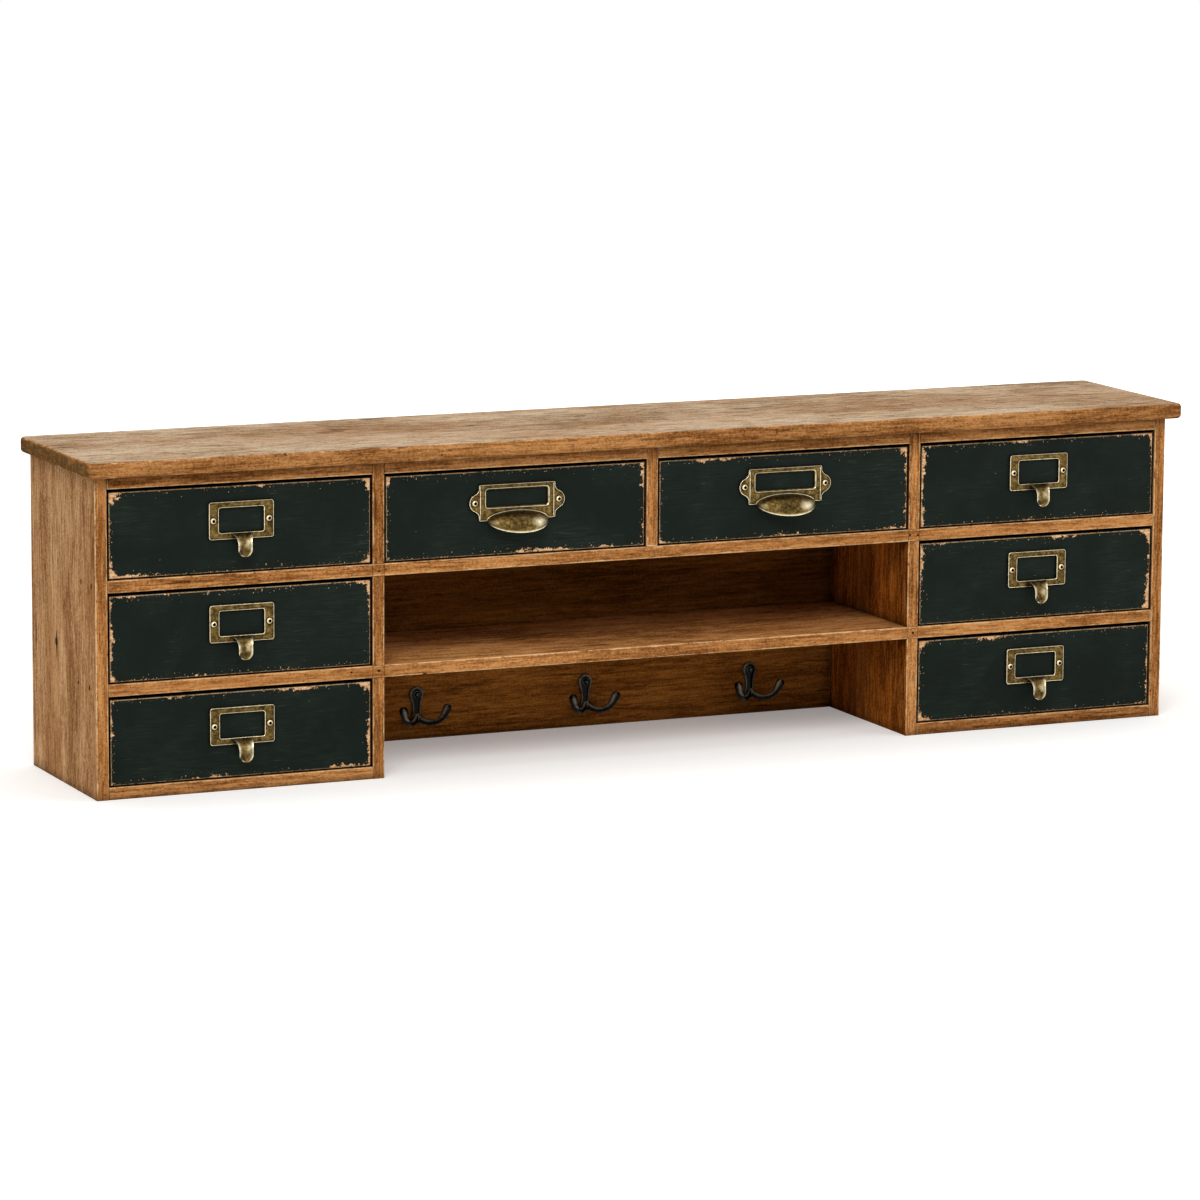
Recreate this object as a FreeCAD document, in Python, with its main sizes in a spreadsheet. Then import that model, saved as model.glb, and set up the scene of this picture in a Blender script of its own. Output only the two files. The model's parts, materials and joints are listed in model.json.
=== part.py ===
import FreeCAD, Part
import math
import os
import Sketcher

# A wide, low cabinet that stands on a desk: two banks of three drawers, two drawers in the
# middle over an open cubby, and an open bay with coat-style double hooks on its back board.
# +X is to the right, +Y to the back, +Z up. The origin is the centre of the footprint.

Vec = FreeCAD.Vector
X_AXIS = Vec(1, 0, 0)
Y_AXIS = Vec(0, 1, 0)
Z_AXIS = Vec(0, 0, 1)
TOUCH = 1e-5

# Driving dimensions in millimetres: name, value, what it measures
SIZES = [
    ("case_wide", 1000.0, "case width over the side panels"),
    ("case_deep", 166.0, "case depth, front edges to rear edges"),
    ("bay_wide", 491.4, "clear width between the uprights"),
    ("opening_high", 75.7, "clear height of every drawer opening"),
    ("side_thick", 10.5, "side panel thickness"),
    ("upright_thick", 10.5, "upright thickness"),
    ("divider_thick", 10.5, "centre divider thickness"),
    ("shelf_thick", 10.5, "shelf thickness"),
    ("base_thick", 10.5, "bottom board thickness"),
    ("rail_thick", 10.5, "top rail height"),
    ("rail_deep", 40.0, "top rail depth"),
    ("back_thick", 10.0, "back board thickness"),
    ("back_inset", 6.0, "back board behind the rear edges"),
    ("edge_round", 0.9, "worn front edges of the case boards"),
    ("top_thick", 13.5, "top board thickness"),
    ("top_front", 14.0, "top board overhang at the front"),
    ("top_side", 10.0, "top board overhang at each side"),
    ("top_round", 3.4, "top board edge rounding"),
    ("top_corner", 6.0, "top board corner rounding, seen from above"),
    ("front_thick", 10.0, "drawer front thickness"),
    ("front_recess", 1.0, "drawer front behind the case front"),
    ("front_gap_top", 2.6, "gap over a drawer front"),
    ("front_gap_side", 1.5, "gap at each end of a drawer front"),
    ("front_gap_low", 0.8, "gap under a drawer front"),
    ("front_round", 1.6, "drawer front edge rounding"),
    ("wall_thick", 6.0, "drawer side and back thickness"),
    ("wall_gap_top", 8.0, "gap over the drawer sides"),
    ("run_gap", 0.3, "running gap under the drawer sides"),
    ("stop_gap", 0.5, "gap behind a closed drawer"),
    ("panel_thick", 3.0, "drawer bottom thickness"),
    ("panel_up", 5.0, "drawer bottom over the lower edge of the sides"),
    ("groove_deep", 3.0, "groove depth for the drawer bottom"),
    ("groove_gap", 0.1, "clearance of the drawer bottom in its grooves"),
    ("plate_thick", 1.4, "pull plate thickness"),
    ("plate_corner", 1.6, "pull plate corner rounding"),
    ("tab_wide", 57.0, "tab pull plate width"),
    ("tab_high", 31.6, "tab pull plate height"),
    ("tab_drop", 13.0, "tab pull plate below the front's top edge"),
    ("tab_window_wide", 39.5, "tab pull card window width"),
    ("tab_window_high", 20.7, "tab pull card window height"),
    ("tab_window_down", 5.3, "tab pull window below the plate top"),
    ("tab_screw_span", 49.0, "distance between tab pull screws"),
    ("tongue_root", 18.6, "finger tab width at the plate"),
    ("tongue_tip", 11.6, "finger tab width at the tip"),
    ("tongue_out", 10.0, "finger tab reach in front of its plate"),
    ("tongue_low", 14.0, "finger tab tip below the plate"),
    ("tongue_lap", 5.2, "finger tab root above the plate's lower edge"),
    ("tongue_thick", 1.5, "finger tab thickness"),
    ("cup_plate_wide", 70.0, "cup pull plate width without its ears"),
    ("cup_plate_high", 31.0, "cup pull plate height"),
    ("cup_drop", 11.7, "cup pull plate below the front's top edge"),
    ("ear_span", 87.5, "cup pull plate width over its ears"),
    ("ear_round", 8.0, "ear radius"),
    ("ear_root", 23.0, "ear height where it leaves the plate"),
    ("cup_screw_span", 76.8, "distance between cup pull screws"),
    ("cup_window_wide", 56.0, "cup pull card window width"),
    ("cup_window_high", 14.6, "cup pull card window height"),
    ("cup_window_down", 4.7, "cup pull window below the plate top"),
    ("cup_wide", 55.5, "cup width"),
    ("cup_rise", 8.5, "cup top above the plate's lower edge"),
    ("cup_fall", 9.0, "cup lip below the plate's lower edge"),
    ("cup_out", 17.5, "cup reach in front of its plate"),
    ("cup_thick", 1.5, "cup wall thickness"),
    ("screw_head", 5.2, "pull screw head diameter"),
    ("screw_dome", 1.5, "pull screw head height"),
    ("screw_recess", 1.8, "recess diameter in a screw head"),
    ("screw_shank", 2.2, "pull screw shank diameter"),
    ("screw_long", 9.0, "pull screw length under its head"),
    ("screw_gap", 0.05, "clearance of a shank in its hole"),
    ("hook_margin", 85.2, "outer hooks from the uprights, on average"),
    ("hook_shift", 4.2, "middle hook right of the centre line"),
    ("hook_low", 13.0, "hook plate above the floor"),
    ("hook_high", 33.5, "hook plate height"),
    ("hook_thick", 3.2, "hook plate thickness"),
    ("hook_head", 13.0, "hook plate head width"),
    ("hook_waist", 7.2, "hook plate waist width"),
    ("hook_foot", 10.4, "hook plate foot width"),
    ("arm_thick", 4.4, "hook arm diameter"),
    ("arm_bend", 16.8, "hook arm bend radius"),
    ("arm_up", 19.6, "bend centre of an arm above the plate's foot"),
    ("arm_spread", 44.0, "angle of an arm forward of the back board"),
    ("bud_thick", 6.4, "diameter of the bud at the end of an arm"),
    ("bud_long", 9.4, "length of the bud"),
    ("hook_screw_head", 6.0, "hook screw head diameter"),
    ("hook_screw_dome", 1.8, "hook screw head height"),
    ("hook_screw_shank", 3.0, "hook screw shank diameter"),
    ("hook_screw_long", 10.0, "hook screw length under its head"),
]

doc = FreeCAD.newDocument("desk_cabinet")
sheet = doc.addObject("Spreadsheet::Sheet", "sizes")
for row, (name, size, meaning) in enumerate(SIZES, start=1):
    sheet.set(f"A{row}", meaning)
    sheet.set(f"B{row}", str(size))
    sheet.setAlias(f"B{row}", name)
doc.recompute()

# Places worked out from the driving dimensions
HALF_BAY = "sizes.bay_wide / 2"
HALF_CASE = "sizes.case_wide / 2"
BANK_WIDE = f"({HALF_CASE} - sizes.side_thick - sizes.upright_thick - {HALF_BAY})"
BANK_MIDDLE = f"({HALF_BAY} + sizes.upright_thick + {BANK_WIDE} / 2)"
CENTRE_WIDE = f"({HALF_BAY} - sizes.divider_thick / 2)"
CENTRE_MIDDLE = f"(sizes.divider_thick / 2 + {CENTRE_WIDE} / 2)"
INNER_DEEP = "(sizes.case_deep - sizes.back_inset - sizes.back_thick)"
LOWER_SHELF_Z = "(sizes.base_thick + sizes.opening_high)"
MIDDLE_FLOOR_Z = f"({LOWER_SHELF_Z} + sizes.shelf_thick)"
UPPER_SHELF_Z = f"({MIDDLE_FLOOR_Z} + sizes.opening_high)"
UPPER_FLOOR_Z = f"({UPPER_SHELF_Z} + sizes.shelf_thick)"
RAIL_Z = f"({UPPER_FLOOR_Z} + sizes.opening_high)"
TOP_Z = f"({RAIL_Z} + sizes.rail_thick)"
PULL_REACH = "sizes.plate_thick - sizes.front_recess + max(sizes.cup_out; sizes.tongue_out)"
FRONT_Y = f"((max(sizes.top_front; {PULL_REACH}) - sizes.case_deep) / 2)"
DRAWER_Y = f"({FRONT_Y} + sizes.front_recess)"
DRAWER_LONG = f"({INNER_DEEP} - sizes.front_recess - sizes.stop_gap)"
FRONT_TOP = "(sizes.opening_high - sizes.front_gap_top)"
WALL_TOP = "(sizes.opening_high - sizes.wall_gap_top)"
PANEL_Z = "(sizes.run_gap + sizes.panel_up)"
HALVING = f"({INNER_DEEP} / 2)"

FLOOR_Z = {"bottom": "sizes.base_thick", "middle": MIDDLE_FLOOR_Z, "top": UPPER_FLOOR_Z}
SIDES = {"left": -1, "right": 1}

subparts = []


def value(expression):
    return float(sheet.evalExpression(str(expression)))


def keep(piece, label):
    piece.Label = label
    subparts.append(piece)
    return piece


def put(piece, x="0", y="0", z="0"):
    for axis, expression in (("x", x), ("y", y), ("z", z)):
        piece.setExpression(f"Placement.Base.{axis}", expression)
    return piece


# Bodies made from an outline


def draw_outline(body, role, outline):
    plane = next(item for item in body.Origin.OriginFeatures if item.Role == role)
    sketch = body.newObject("Sketcher::SketchObject", "outline")
    sketch.AttachmentSupport = [(plane, "")]
    sketch.MapMode = "FlatFace"
    points = [Vec(value(across), value(along), 0) for across, along in outline]
    count = len(points)
    for index in range(count):
        sketch.addGeometry(Part.LineSegment(points[index], points[(index + 1) % count]), False)
    for index in range(count):
        joined = Sketcher.Constraint("Coincident", index, 2, (index + 1) % count, 1)
        sketch.addConstraint(joined)
    for index, expressions in enumerate(outline):
        for kind, expression in zip(("DistanceX", "DistanceY"), expressions):
            place = Sketcher.Constraint(kind, -1, 1, index, 1, value(expression))
            number = sketch.addConstraint(place)
            sketch.setExpression(f"Constraints[{number}]", expression)
    return sketch


def box_outline(low_across, low_along, high_across, high_along):
    return [
        (low_across, low_along),
        (high_across, low_along),
        (high_across, high_along),
        (low_across, high_along),
    ]


def board(label, role, outline, thick):
    body = doc.addObject("PartDesign::Body", label)
    pad = body.newObject("PartDesign::Pad", "board")
    pad.Profile = draw_outline(body, role, outline)
    pad.setExpression("Length", thick)
    pad.Reversed = role == "XZ_Plane"
    body.Tip = pad
    doc.recompute()
    return keep(body, label)


def round_edges(body, radius, wanted):
    solid = body.Tip
    edges = enumerate(solid.Shape.Edges, start=1)
    names = [f"Edge{number}" for number, edge in edges if wanted(edge)]
    fillet = body.newObject("PartDesign::Fillet", "rounding")
    fillet.Base = (solid, names)
    fillet.setExpression("Radius", radius)
    body.Tip = fillet
    doc.recompute()
    return fillet


def runs_along(edge, axis):
    ends = edge.Vertexes[-1].Point - edge.Vertexes[0].Point
    return ends.Length > TOUCH and ends.cross(axis).Length < TOUCH


def at_front(edge):
    return all(abs(vertex.Point.y) < TOUCH for vertex in edge.Vertexes)


def cut_box(body, corner, size):
    cutter = body.newObject("PartDesign::SubtractiveBox", "slot")
    for prop, expression in zip(("Length", "Width", "Height"), size):
        cutter.setExpression(prop, expression)
    put(cutter, *corner)
    body.Tip = cutter
    doc.recompute()
    return cutter


def cut_hole(body, corner, radius, depth):
    cutter = body.newObject("PartDesign::SubtractiveCylinder", "hole")
    cutter.setExpression("Radius", radius)
    cutter.setExpression("Height", depth)
    cutter.Placement = FreeCAD.Placement(Vec(), FreeCAD.Rotation(X_AXIS, -90))
    put(cutter, *corner)
    body.Tip = cutter
    doc.recompute()
    return cutter


# Case boards


def make_top_board():
    half = f"({HALF_CASE} + sizes.top_side)"
    outline = box_outline(f"-{half}", "-sizes.top_front", half, "sizes.case_deep")
    top = board("top_board", "XY_Plane", outline, "sizes.top_thick")
    round_edges(top, "sizes.top_corner", lambda edge: runs_along(edge, Z_AXIS))
    round_edges(top, "sizes.top_round", lambda edge: not runs_along(edge, Z_AXIS))
    put(top, y=FRONT_Y, z=TOP_Z)


def make_side_panels():
    outline = box_outline("0", "0", "sizes.case_deep", TOP_Z)
    for side, x in (("left", f"-{HALF_CASE}"), ("right", f"{HALF_CASE} - sizes.side_thick")):
        panel = board(f"side_panel_{side}", "YZ_Plane", outline, "sizes.side_thick")
        round_edges(panel, "sizes.edge_round",
                    lambda edge: at_front(edge) and runs_along(edge, Z_AXIS))
        put(panel, x=x, y=FRONT_Y)


def make_uprights():
    # Each upright is halved from the front where a shelf crosses it
    outline = [("0", "0")]
    for low, high in ((LOWER_SHELF_Z, MIDDLE_FLOOR_Z), (UPPER_SHELF_Z, UPPER_FLOOR_Z)):
        outline += [("0", low), (HALVING, low), (HALVING, high), ("0", high)]
    outline += [("0", TOP_Z), ("sizes.case_deep", TOP_Z), ("sizes.case_deep", "0")]
    places = (("left", f"-({HALF_BAY} + sizes.upright_thick)"), ("right", HALF_BAY))
    for side, x in places:
        upright = board(f"upright_{side}", "YZ_Plane", outline, "sizes.upright_thick")
        round_edges(upright, "sizes.edge_round",
                    lambda edge: at_front(edge) and runs_along(edge, Z_AXIS))
        put(upright, x=x, y=FRONT_Y)


def make_centre_divider():
    outline = box_outline("0", "0", INNER_DEEP, f"({TOP_Z} - {UPPER_FLOOR_Z})")
    divider = board("centre_divider", "YZ_Plane", outline, "sizes.divider_thick")
    round_edges(divider, "sizes.edge_round",
                lambda edge: at_front(edge) and runs_along(edge, Z_AXIS))
    put(divider, x="-sizes.divider_thick / 2", y=FRONT_Y, z=UPPER_FLOOR_Z)


def make_shelves():
    # Each shelf is halved from the back where it crosses an upright
    end = f"({HALF_CASE} - sizes.side_thick)"
    near = HALF_BAY
    far = f"({HALF_BAY} + sizes.upright_thick)"
    outline = [(f"-{end}", "0"), (end, "0"), (end, INNER_DEEP)]
    outline += [(far, INNER_DEEP), (far, HALVING), (near, HALVING), (near, INNER_DEEP)]
    outline += [(f"-{near}", INNER_DEEP), (f"-{near}", HALVING)]
    outline += [(f"-{far}", HALVING), (f"-{far}", INNER_DEEP), (f"-{end}", INNER_DEEP)]
    for label, z in (("lower_shelf", LOWER_SHELF_Z), ("upper_shelf", UPPER_SHELF_Z)):
        shelf = board(label, "XY_Plane", outline, "sizes.shelf_thick")
        round_edges(shelf, "sizes.edge_round",
                    lambda edge: at_front(edge) and runs_along(edge, X_AXIS))
        put(shelf, y=FRONT_Y, z=z)


def make_bottom_boards():
    half = f"{BANK_WIDE} / 2"
    outline = box_outline(f"-{half}", "0", half, INNER_DEEP)
    for side, sign in SIDES.items():
        base = board(f"bottom_board_{side}", "XY_Plane", outline, "sizes.base_thick")
        round_edges(base, "sizes.edge_round",
                    lambda edge: at_front(edge) and runs_along(edge, X_AXIS))
        put(base, x=f"{sign} * {BANK_MIDDLE}", y=FRONT_Y)


def make_top_rails():
    rails = []
    for sign in SIDES.values():
        for middle, wide in ((BANK_MIDDLE, BANK_WIDE), (CENTRE_MIDDLE, CENTRE_WIDE)):
            rail = doc.addObject("Part::Box", "rail")
            rail.setExpression("Length", wide)
            rail.setExpression("Width", "sizes.rail_deep")
            rail.setExpression("Height", "sizes.rail_thick")
            put(rail, x=f"{sign} * {middle} - {wide} / 2", z="0")
            rails.append(rail)
    group = doc.addObject("Part::Compound", "top_rails")
    group.Links = rails
    put(keep(group, "top_rails"), y=FRONT_Y, z=RAIL_Z)


def make_back_boards():
    hole_radius = "(sizes.hook_screw_shank / 2 + sizes.screw_gap)"
    hole_deep = "(sizes.hook_screw_long - sizes.hook_thick + sizes.screw_gap)"
    places = [("centre", "sizes.bay_wide", "0")]
    for side, sign in SIDES.items():
        places.append((side, BANK_WIDE, f"{sign} * {BANK_MIDDLE}"))
    for side, wide, middle in places:
        outline = box_outline(f"-{wide} / 2", "0", f"{wide} / 2", TOP_Z)
        back = board(f"back_board_{side}", "XZ_Plane", outline, "sizes.back_thick")
        if side == "centre":
            for place in HOOK_PLACES.values():
                cut_hole(back, (place, "0", HOOK_SCREW_Z), hole_radius, hole_deep)
        put(back, x=middle, y=f"{FRONT_Y} + {INNER_DEEP}")


# Hooks: a cast plate with two curled arms, seen from the front as a wide letter Y

HOOK_PITCH = f"({HALF_BAY} - sizes.hook_margin)"
HOOK_PLACES = {
    "left": f"(sizes.hook_shift - {HOOK_PITCH})",
    "centre": "sizes.hook_shift",
    "right": f"(sizes.hook_shift + {HOOK_PITCH})",
}
HOOK_SCREW_Z = "(sizes.hook_low + sizes.hook_high - sizes.hook_head / 2)"
ARM_START = -140.0
ARM_SWEEP = 105.0
HEAD_SHOULDER = 40.0
WAIST_SHARE = 0.42
FOOT_SHARE = 0.12


def hook_plate():
    high = value("sizes.hook_high")
    head = value("sizes.hook_head") / 2
    foot = value("sizes.hook_foot") / 2
    shoulder = math.radians(HEAD_SHOULDER)
    shoulder_x = head * math.cos(shoulder)
    shoulder_z = high - head - head * math.sin(shoulder)
    waist_x = value("sizes.hook_waist") / 2
    waist_z = high * WAIST_SHARE
    foot_z = high * FOOT_SHARE
    right = [Vec(foot, 0, foot_z), Vec(waist_x, 0, waist_z), Vec(shoulder_x, 0, shoulder_z)]
    left = [Vec(-point.x, 0, point.z) for point in reversed(right)]
    edges = [
        Part.Arc(*right).toShape(),
        Part.Arc(right[-1], Vec(0, 0, high), left[0]).toShape(),
        Part.Arc(*left).toShape(),
        Part.Arc(left[-1], Vec(0, 0, 0), right[0]).toShape(),
    ]
    thick = value("sizes.hook_thick")
    return Part.Face(Part.Wire(edges)).extrude(Vec(0, -thick, 0))


def hook_arm(sign):
    # The arm is an arc in an upright plane that turns forward from the back board
    spread = math.radians(value("sizes.arm_spread"))
    outward = Vec(sign * math.cos(spread), -math.sin(spread), 0)
    bend = value("sizes.arm_bend")
    start = math.radians(ARM_START)
    root = Vec(0, -value("sizes.arm_thick") / 2, 0)
    centre = root - outward * (bend * math.cos(start)) + Z_AXIS * value("sizes.arm_up")
    first = centre + outward * (bend * math.cos(start)) + Z_AXIS * (bend * math.sin(start))
    tangent = Z_AXIS * math.cos(start) - outward * math.sin(start)
    circle = Part.makeCircle(value("sizes.arm_thick") / 2, first, tangent)
    axis = outward.cross(Z_AXIS)
    arm = Part.Face(Part.Wire(circle)).revolve(centre, axis, ARM_SWEEP)
    end = math.radians(ARM_START + ARM_SWEEP)
    tip = centre + outward * (bend * math.cos(end)) + Z_AXIS * (bend * math.sin(end))
    ahead = Z_AXIS * math.cos(end) - outward * math.sin(end)
    return arm.fuse(arm_bud(tip, ahead))


def arm_bud(foot, along):
    ball = value("sizes.bud_thick") / 2
    neck = value("sizes.bud_long") - ball
    swell = Part.makeCone(value("sizes.arm_thick") / 2, ball, neck, foot, along)
    return swell.fuse(Part.makeSphere(ball, foot + along * neck))


def make_hooks():
    plate = hook_plate()
    screw_up = value(HOOK_SCREW_Z) - value("sizes.hook_low")
    radius = value("sizes.hook_screw_shank") / 2 + value("sizes.screw_gap")
    hole = Part.makeCylinder(radius, value("sizes.hook_thick"), Vec(0, 0, screw_up), -Y_AXIS)
    hook = plate.fuse([hook_arm(1), hook_arm(-1)]).cut(hole)
    face_y = f"{FRONT_Y} + {INNER_DEEP}"
    for side, place in HOOK_PLACES.items():
        piece = doc.addObject("Part::Feature", f"hook_{side}")
        piece.Shape = hook
        put(keep(piece, f"hook_{side}"), x=place, y=face_y, z="sizes.hook_low")
    screw = screw_shape("sizes.hook_screw_head", "sizes.hook_screw_dome",
                        "sizes.hook_screw_shank", "sizes.hook_screw_long")
    screws = []
    for place in HOOK_PLACES.values():
        screws.append(screw.translated(Vec(value(place), -value("sizes.hook_thick"), 0)))
    group = doc.addObject("Part::Feature", "hook_screws")
    group.Shape = Part.Compound(screws)
    put(keep(group, "hook_screws"), y=face_y, z=HOOK_SCREW_Z)


# Screws: a domed head with a round recess, its flat underside at y = 0, the shank behind it


def screw_shape(head, dome, shank, long):
    head_radius = value(head) / 2
    dome_high = value(dome)
    shank_radius = value(shank) / 2
    recess = value("sizes.screw_recess") / 2
    recess_deep = dome_high / 2
    dome_radius = (head_radius ** 2 + dome_high ** 2) / (2 * dome_high)
    ball = Part.makeSphere(dome_radius, Vec(0, dome_radius - dome_high, 0))
    cap = ball.common(Part.makeCylinder(head_radius, dome_high, Vec(0, 0, 0), -Y_AXIS))
    cap = cap.cut(Part.makeCylinder(recess, recess_deep, Vec(0, -dome_high, 0), Y_AXIS))
    pin = Part.makeCylinder(shank_radius, value(long), Vec(0, 0, 0), Y_AXIS)
    return cap.fuse(pin)


# Pulls: local origin at the middle of the plate's top edge, the plate's back at y = 0


def plate_slab(wide, high, thick, corner):
    slab = Part.makeBox(wide, thick, high, Vec(-wide / 2, -thick, -high))
    upright = [edge for edge in slab.Edges if runs_along(edge, Y_AXIS)]
    return slab.makeFillet(corner, upright)


def screw_holes(half_span, z, thick):
    radius = value("sizes.screw_shank") / 2 + value("sizes.screw_gap")
    holes = []
    for sign in SIDES.values():
        holes.append(Part.makeCylinder(radius, thick, Vec(sign * half_span, 0, z), -Y_AXIS))
    return holes


def window_cutter(wide, high, down, thick):
    return Part.makeBox(wide, thick, high, Vec(-wide / 2, -thick, -down - high))


def tab_tongue():
    thick = value("sizes.tongue_thick")
    plate = value("sizes.plate_thick")
    reach = value("sizes.tongue_out")
    high = value("sizes.tab_high")
    top = -high + value("sizes.tongue_lap")
    low = -high - value("sizes.tongue_low")
    inner = reach - thick
    skew = math.sqrt(0.5)
    bend = Vec(0, -plate, top - reach)
    outer_mid = bend + Vec(0, -reach * skew, reach * skew)
    inner_mid = bend + Vec(0, -inner * skew, inner * skew)
    outer_end = bend + Vec(0, -reach, 0)
    inner_end = bend + Vec(0, -inner, 0)
    outer_top = Vec(0, -plate, top)
    inner_top = Vec(0, -plate, top - thick)
    behind_top = Vec(0, -plate / 2, top)
    behind_low = Vec(0, -plate / 2, top - thick)
    outer_low = Vec(0, outer_end.y, low)
    inner_low = Vec(0, inner_end.y, low)
    section = Part.Wire([
        Part.makeLine(behind_low, behind_top),
        Part.makeLine(behind_top, outer_top),
        Part.Arc(outer_top, outer_mid, outer_end).toShape(),
        Part.makeLine(outer_end, outer_low),
        Part.makeLine(outer_low, inner_low),
        Part.makeLine(inner_low, inner_end),
        Part.Arc(inner_end, inner_mid, inner_top).toShape(),
        Part.makeLine(inner_top, behind_low),
    ])
    root = value("sizes.tongue_root") / 2
    tip = value("sizes.tongue_tip") / 2
    strip = Part.Face(section).extrude(Vec(2 * root, 0, 0))
    strip.translate(Vec(-root, 0, 0))
    outline = Part.Wire([
        Part.makeLine(Vec(-root, 0, top), Vec(root, 0, top)),
        Part.makeLine(Vec(root, 0, top), Vec(tip, 0, low + tip)),
        Part.Arc(Vec(tip, 0, low + tip), Vec(0, 0, low), Vec(-tip, 0, low + tip)).toShape(),
        Part.makeLine(Vec(-tip, 0, low + tip), Vec(-root, 0, top)),
    ])
    return strip.common(Part.Face(outline).extrude(Vec(0, -plate - reach, 0)))


def tab_pull():
    wide = value("sizes.tab_wide")
    high = value("sizes.tab_high")
    thick = value("sizes.plate_thick")
    plate = plate_slab(wide, high, thick, value("sizes.plate_corner"))
    window = window_cutter(value("sizes.tab_window_wide"), value("sizes.tab_window_high"),
                           value("sizes.tab_window_down"), thick)
    holes = screw_holes(value("sizes.tab_screw_span") / 2, -high / 2, thick)
    return plate.fuse(tab_tongue()).cut([window] + holes)


EAR_SLOPE = 60.0
EAR_DIP = 0.14


def cup_ear(sign):
    # Two hollow curves run from the plate's end to a wide round tip
    plate_x = value("sizes.cup_plate_wide") / 2
    round_tip = value("sizes.ear_round")
    centre_x = value("sizes.ear_span") / 2 - round_tip
    middle = -value("sizes.cup_plate_high") / 2
    root = value("sizes.ear_root") / 2
    thick = value("sizes.plate_thick")
    slope = math.radians(EAR_SLOPE)
    neck = Vec(centre_x + round_tip * math.cos(slope), 0, round_tip * math.sin(slope))
    dip = (root - neck.z) * EAR_DIP
    hollow = Vec((plate_x + neck.x) / 2 - dip, 0, (root + neck.z) / 2 - dip)
    upper = [Vec(plate_x, 0, root), hollow, neck]
    lower = [Vec(point.x, 0, -point.z) for point in reversed(upper)]
    inside = plate_x - thick
    edges = [
        Part.makeLine(Vec(inside, 0, root), upper[0]),
        Part.Arc(*upper).toShape(),
        Part.Arc(upper[-1], Vec(centre_x + round_tip, 0, 0), lower[0]).toShape(),
        Part.Arc(*lower).toShape(),
        Part.makeLine(lower[-1], Vec(inside, 0, -root)),
        Part.makeLine(Vec(inside, 0, -root), Vec(inside, 0, root)),
    ]
    ear = Part.Face(Part.Wire(edges)).extrude(Vec(0, -thick, 0))
    if sign < 0:
        ear = ear.mirror(Vec(0, 0, 0), X_AXIS)
    return ear.translated(Vec(0, 0, middle))


def cup_bowl():
    # Half of a hollow turned cap, flattened front to back, with its lip cut on a slope
    half = value("sizes.cup_wide") / 2
    rise = value("sizes.cup_rise")
    fall = value("sizes.cup_fall")
    thick = value("sizes.cup_thick")
    out = value("sizes.cup_out")
    across = Part.Ellipse(Vec(0, 0, 0), half, rise)
    within = Part.Ellipse(Vec(0, 0, 0), half - thick, rise - thick)
    outer = Part.Arc(across, 0, math.pi / 2).toShape()
    inner = Part.Arc(within, 0, math.pi / 2).toShape()
    section = Part.Wire([
        outer,
        Part.makeLine(Vec(0, rise, 0), Vec(0, rise - thick, 0)),
        inner,
        Part.makeLine(Vec(half - thick, 0, 0), Vec(half - thick, -fall, 0)),
        Part.makeLine(Vec(half - thick, -fall, 0), Vec(half, -fall, 0)),
        Part.makeLine(Vec(half, -fall, 0), Vec(half, 0, 0)),
    ])
    section.rotate(Vec(0, 0, 0), X_AXIS, 90)
    cap = Part.Face(section).revolve(Vec(0, 0, 0), Z_AXIS, -180)
    flatten = FreeCAD.Matrix()
    flatten.A22 = out / half
    bowl = cap.transformGeometry(flatten)
    slope = Part.makePolygon([
        Vec(-half - thick, thick, -thick / 2),
        Vec(-half - thick, -out - thick, -fall),
        Vec(-half - thick, -out - thick, -2 * fall),
        Vec(-half - thick, thick, -2 * fall),
        Vec(-half - thick, thick, -thick / 2),
    ])
    below = Part.Face(slope).extrude(Vec(2 * (half + thick), 0, 0))
    return bowl.cut(below)


def cup_pull():
    wide = value("sizes.cup_plate_wide")
    high = value("sizes.cup_plate_high")
    thick = value("sizes.plate_thick")
    plate = plate_slab(wide, high, thick, value("sizes.plate_corner"))
    window = window_cutter(value("sizes.cup_window_wide"), value("sizes.cup_window_high"),
                           value("sizes.cup_window_down"), thick)
    holes = screw_holes(value("sizes.cup_screw_span") / 2, -high / 2, thick)
    bowl = cup_bowl().translated(Vec(0, -thick, -high))
    return plate.fuse([cup_ear(1), cup_ear(-1), bowl]).cut([window] + holes)


# Drawers: local origin at the middle of the opening's floor, the front's face at y = 0


def make_front(label, wide, screw_half, screw_z):
    half = f"({wide} / 2 - sizes.front_gap_side)"
    outline = box_outline(f"-{half}", "sizes.front_gap_low", half, FRONT_TOP)
    front = board(label, "XZ_Plane", outline, "sizes.front_thick")
    round_edges(front, "sizes.front_round", at_front)
    groove_wide = f"2 * ({half} - sizes.wall_thick + sizes.groove_deep + sizes.groove_gap)"
    groove_back = "(sizes.groove_deep + sizes.groove_gap)"
    corner = (f"-{groove_wide} / 2", f"sizes.front_thick - {groove_back}",
              f"{PANEL_Z} - sizes.groove_gap")
    cut_box(front, corner, (groove_wide, groove_back, "sizes.panel_thick + 2 * sizes.groove_gap"))
    radius = "(sizes.screw_shank / 2 + sizes.screw_gap)"
    depth = "(sizes.screw_long - sizes.plate_thick + sizes.screw_gap)"
    for sign in SIDES.values():
        cut_hole(front, (f"{sign} * {screw_half}", "0", screw_z), radius, depth)
    return front


def make_box(name, corner, size):
    box = doc.addObject("Part::Box", name)
    for prop, expression in zip(("Length", "Width", "Height"), size):
        box.setExpression(prop, expression)
    return put(box, *corner)


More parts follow.
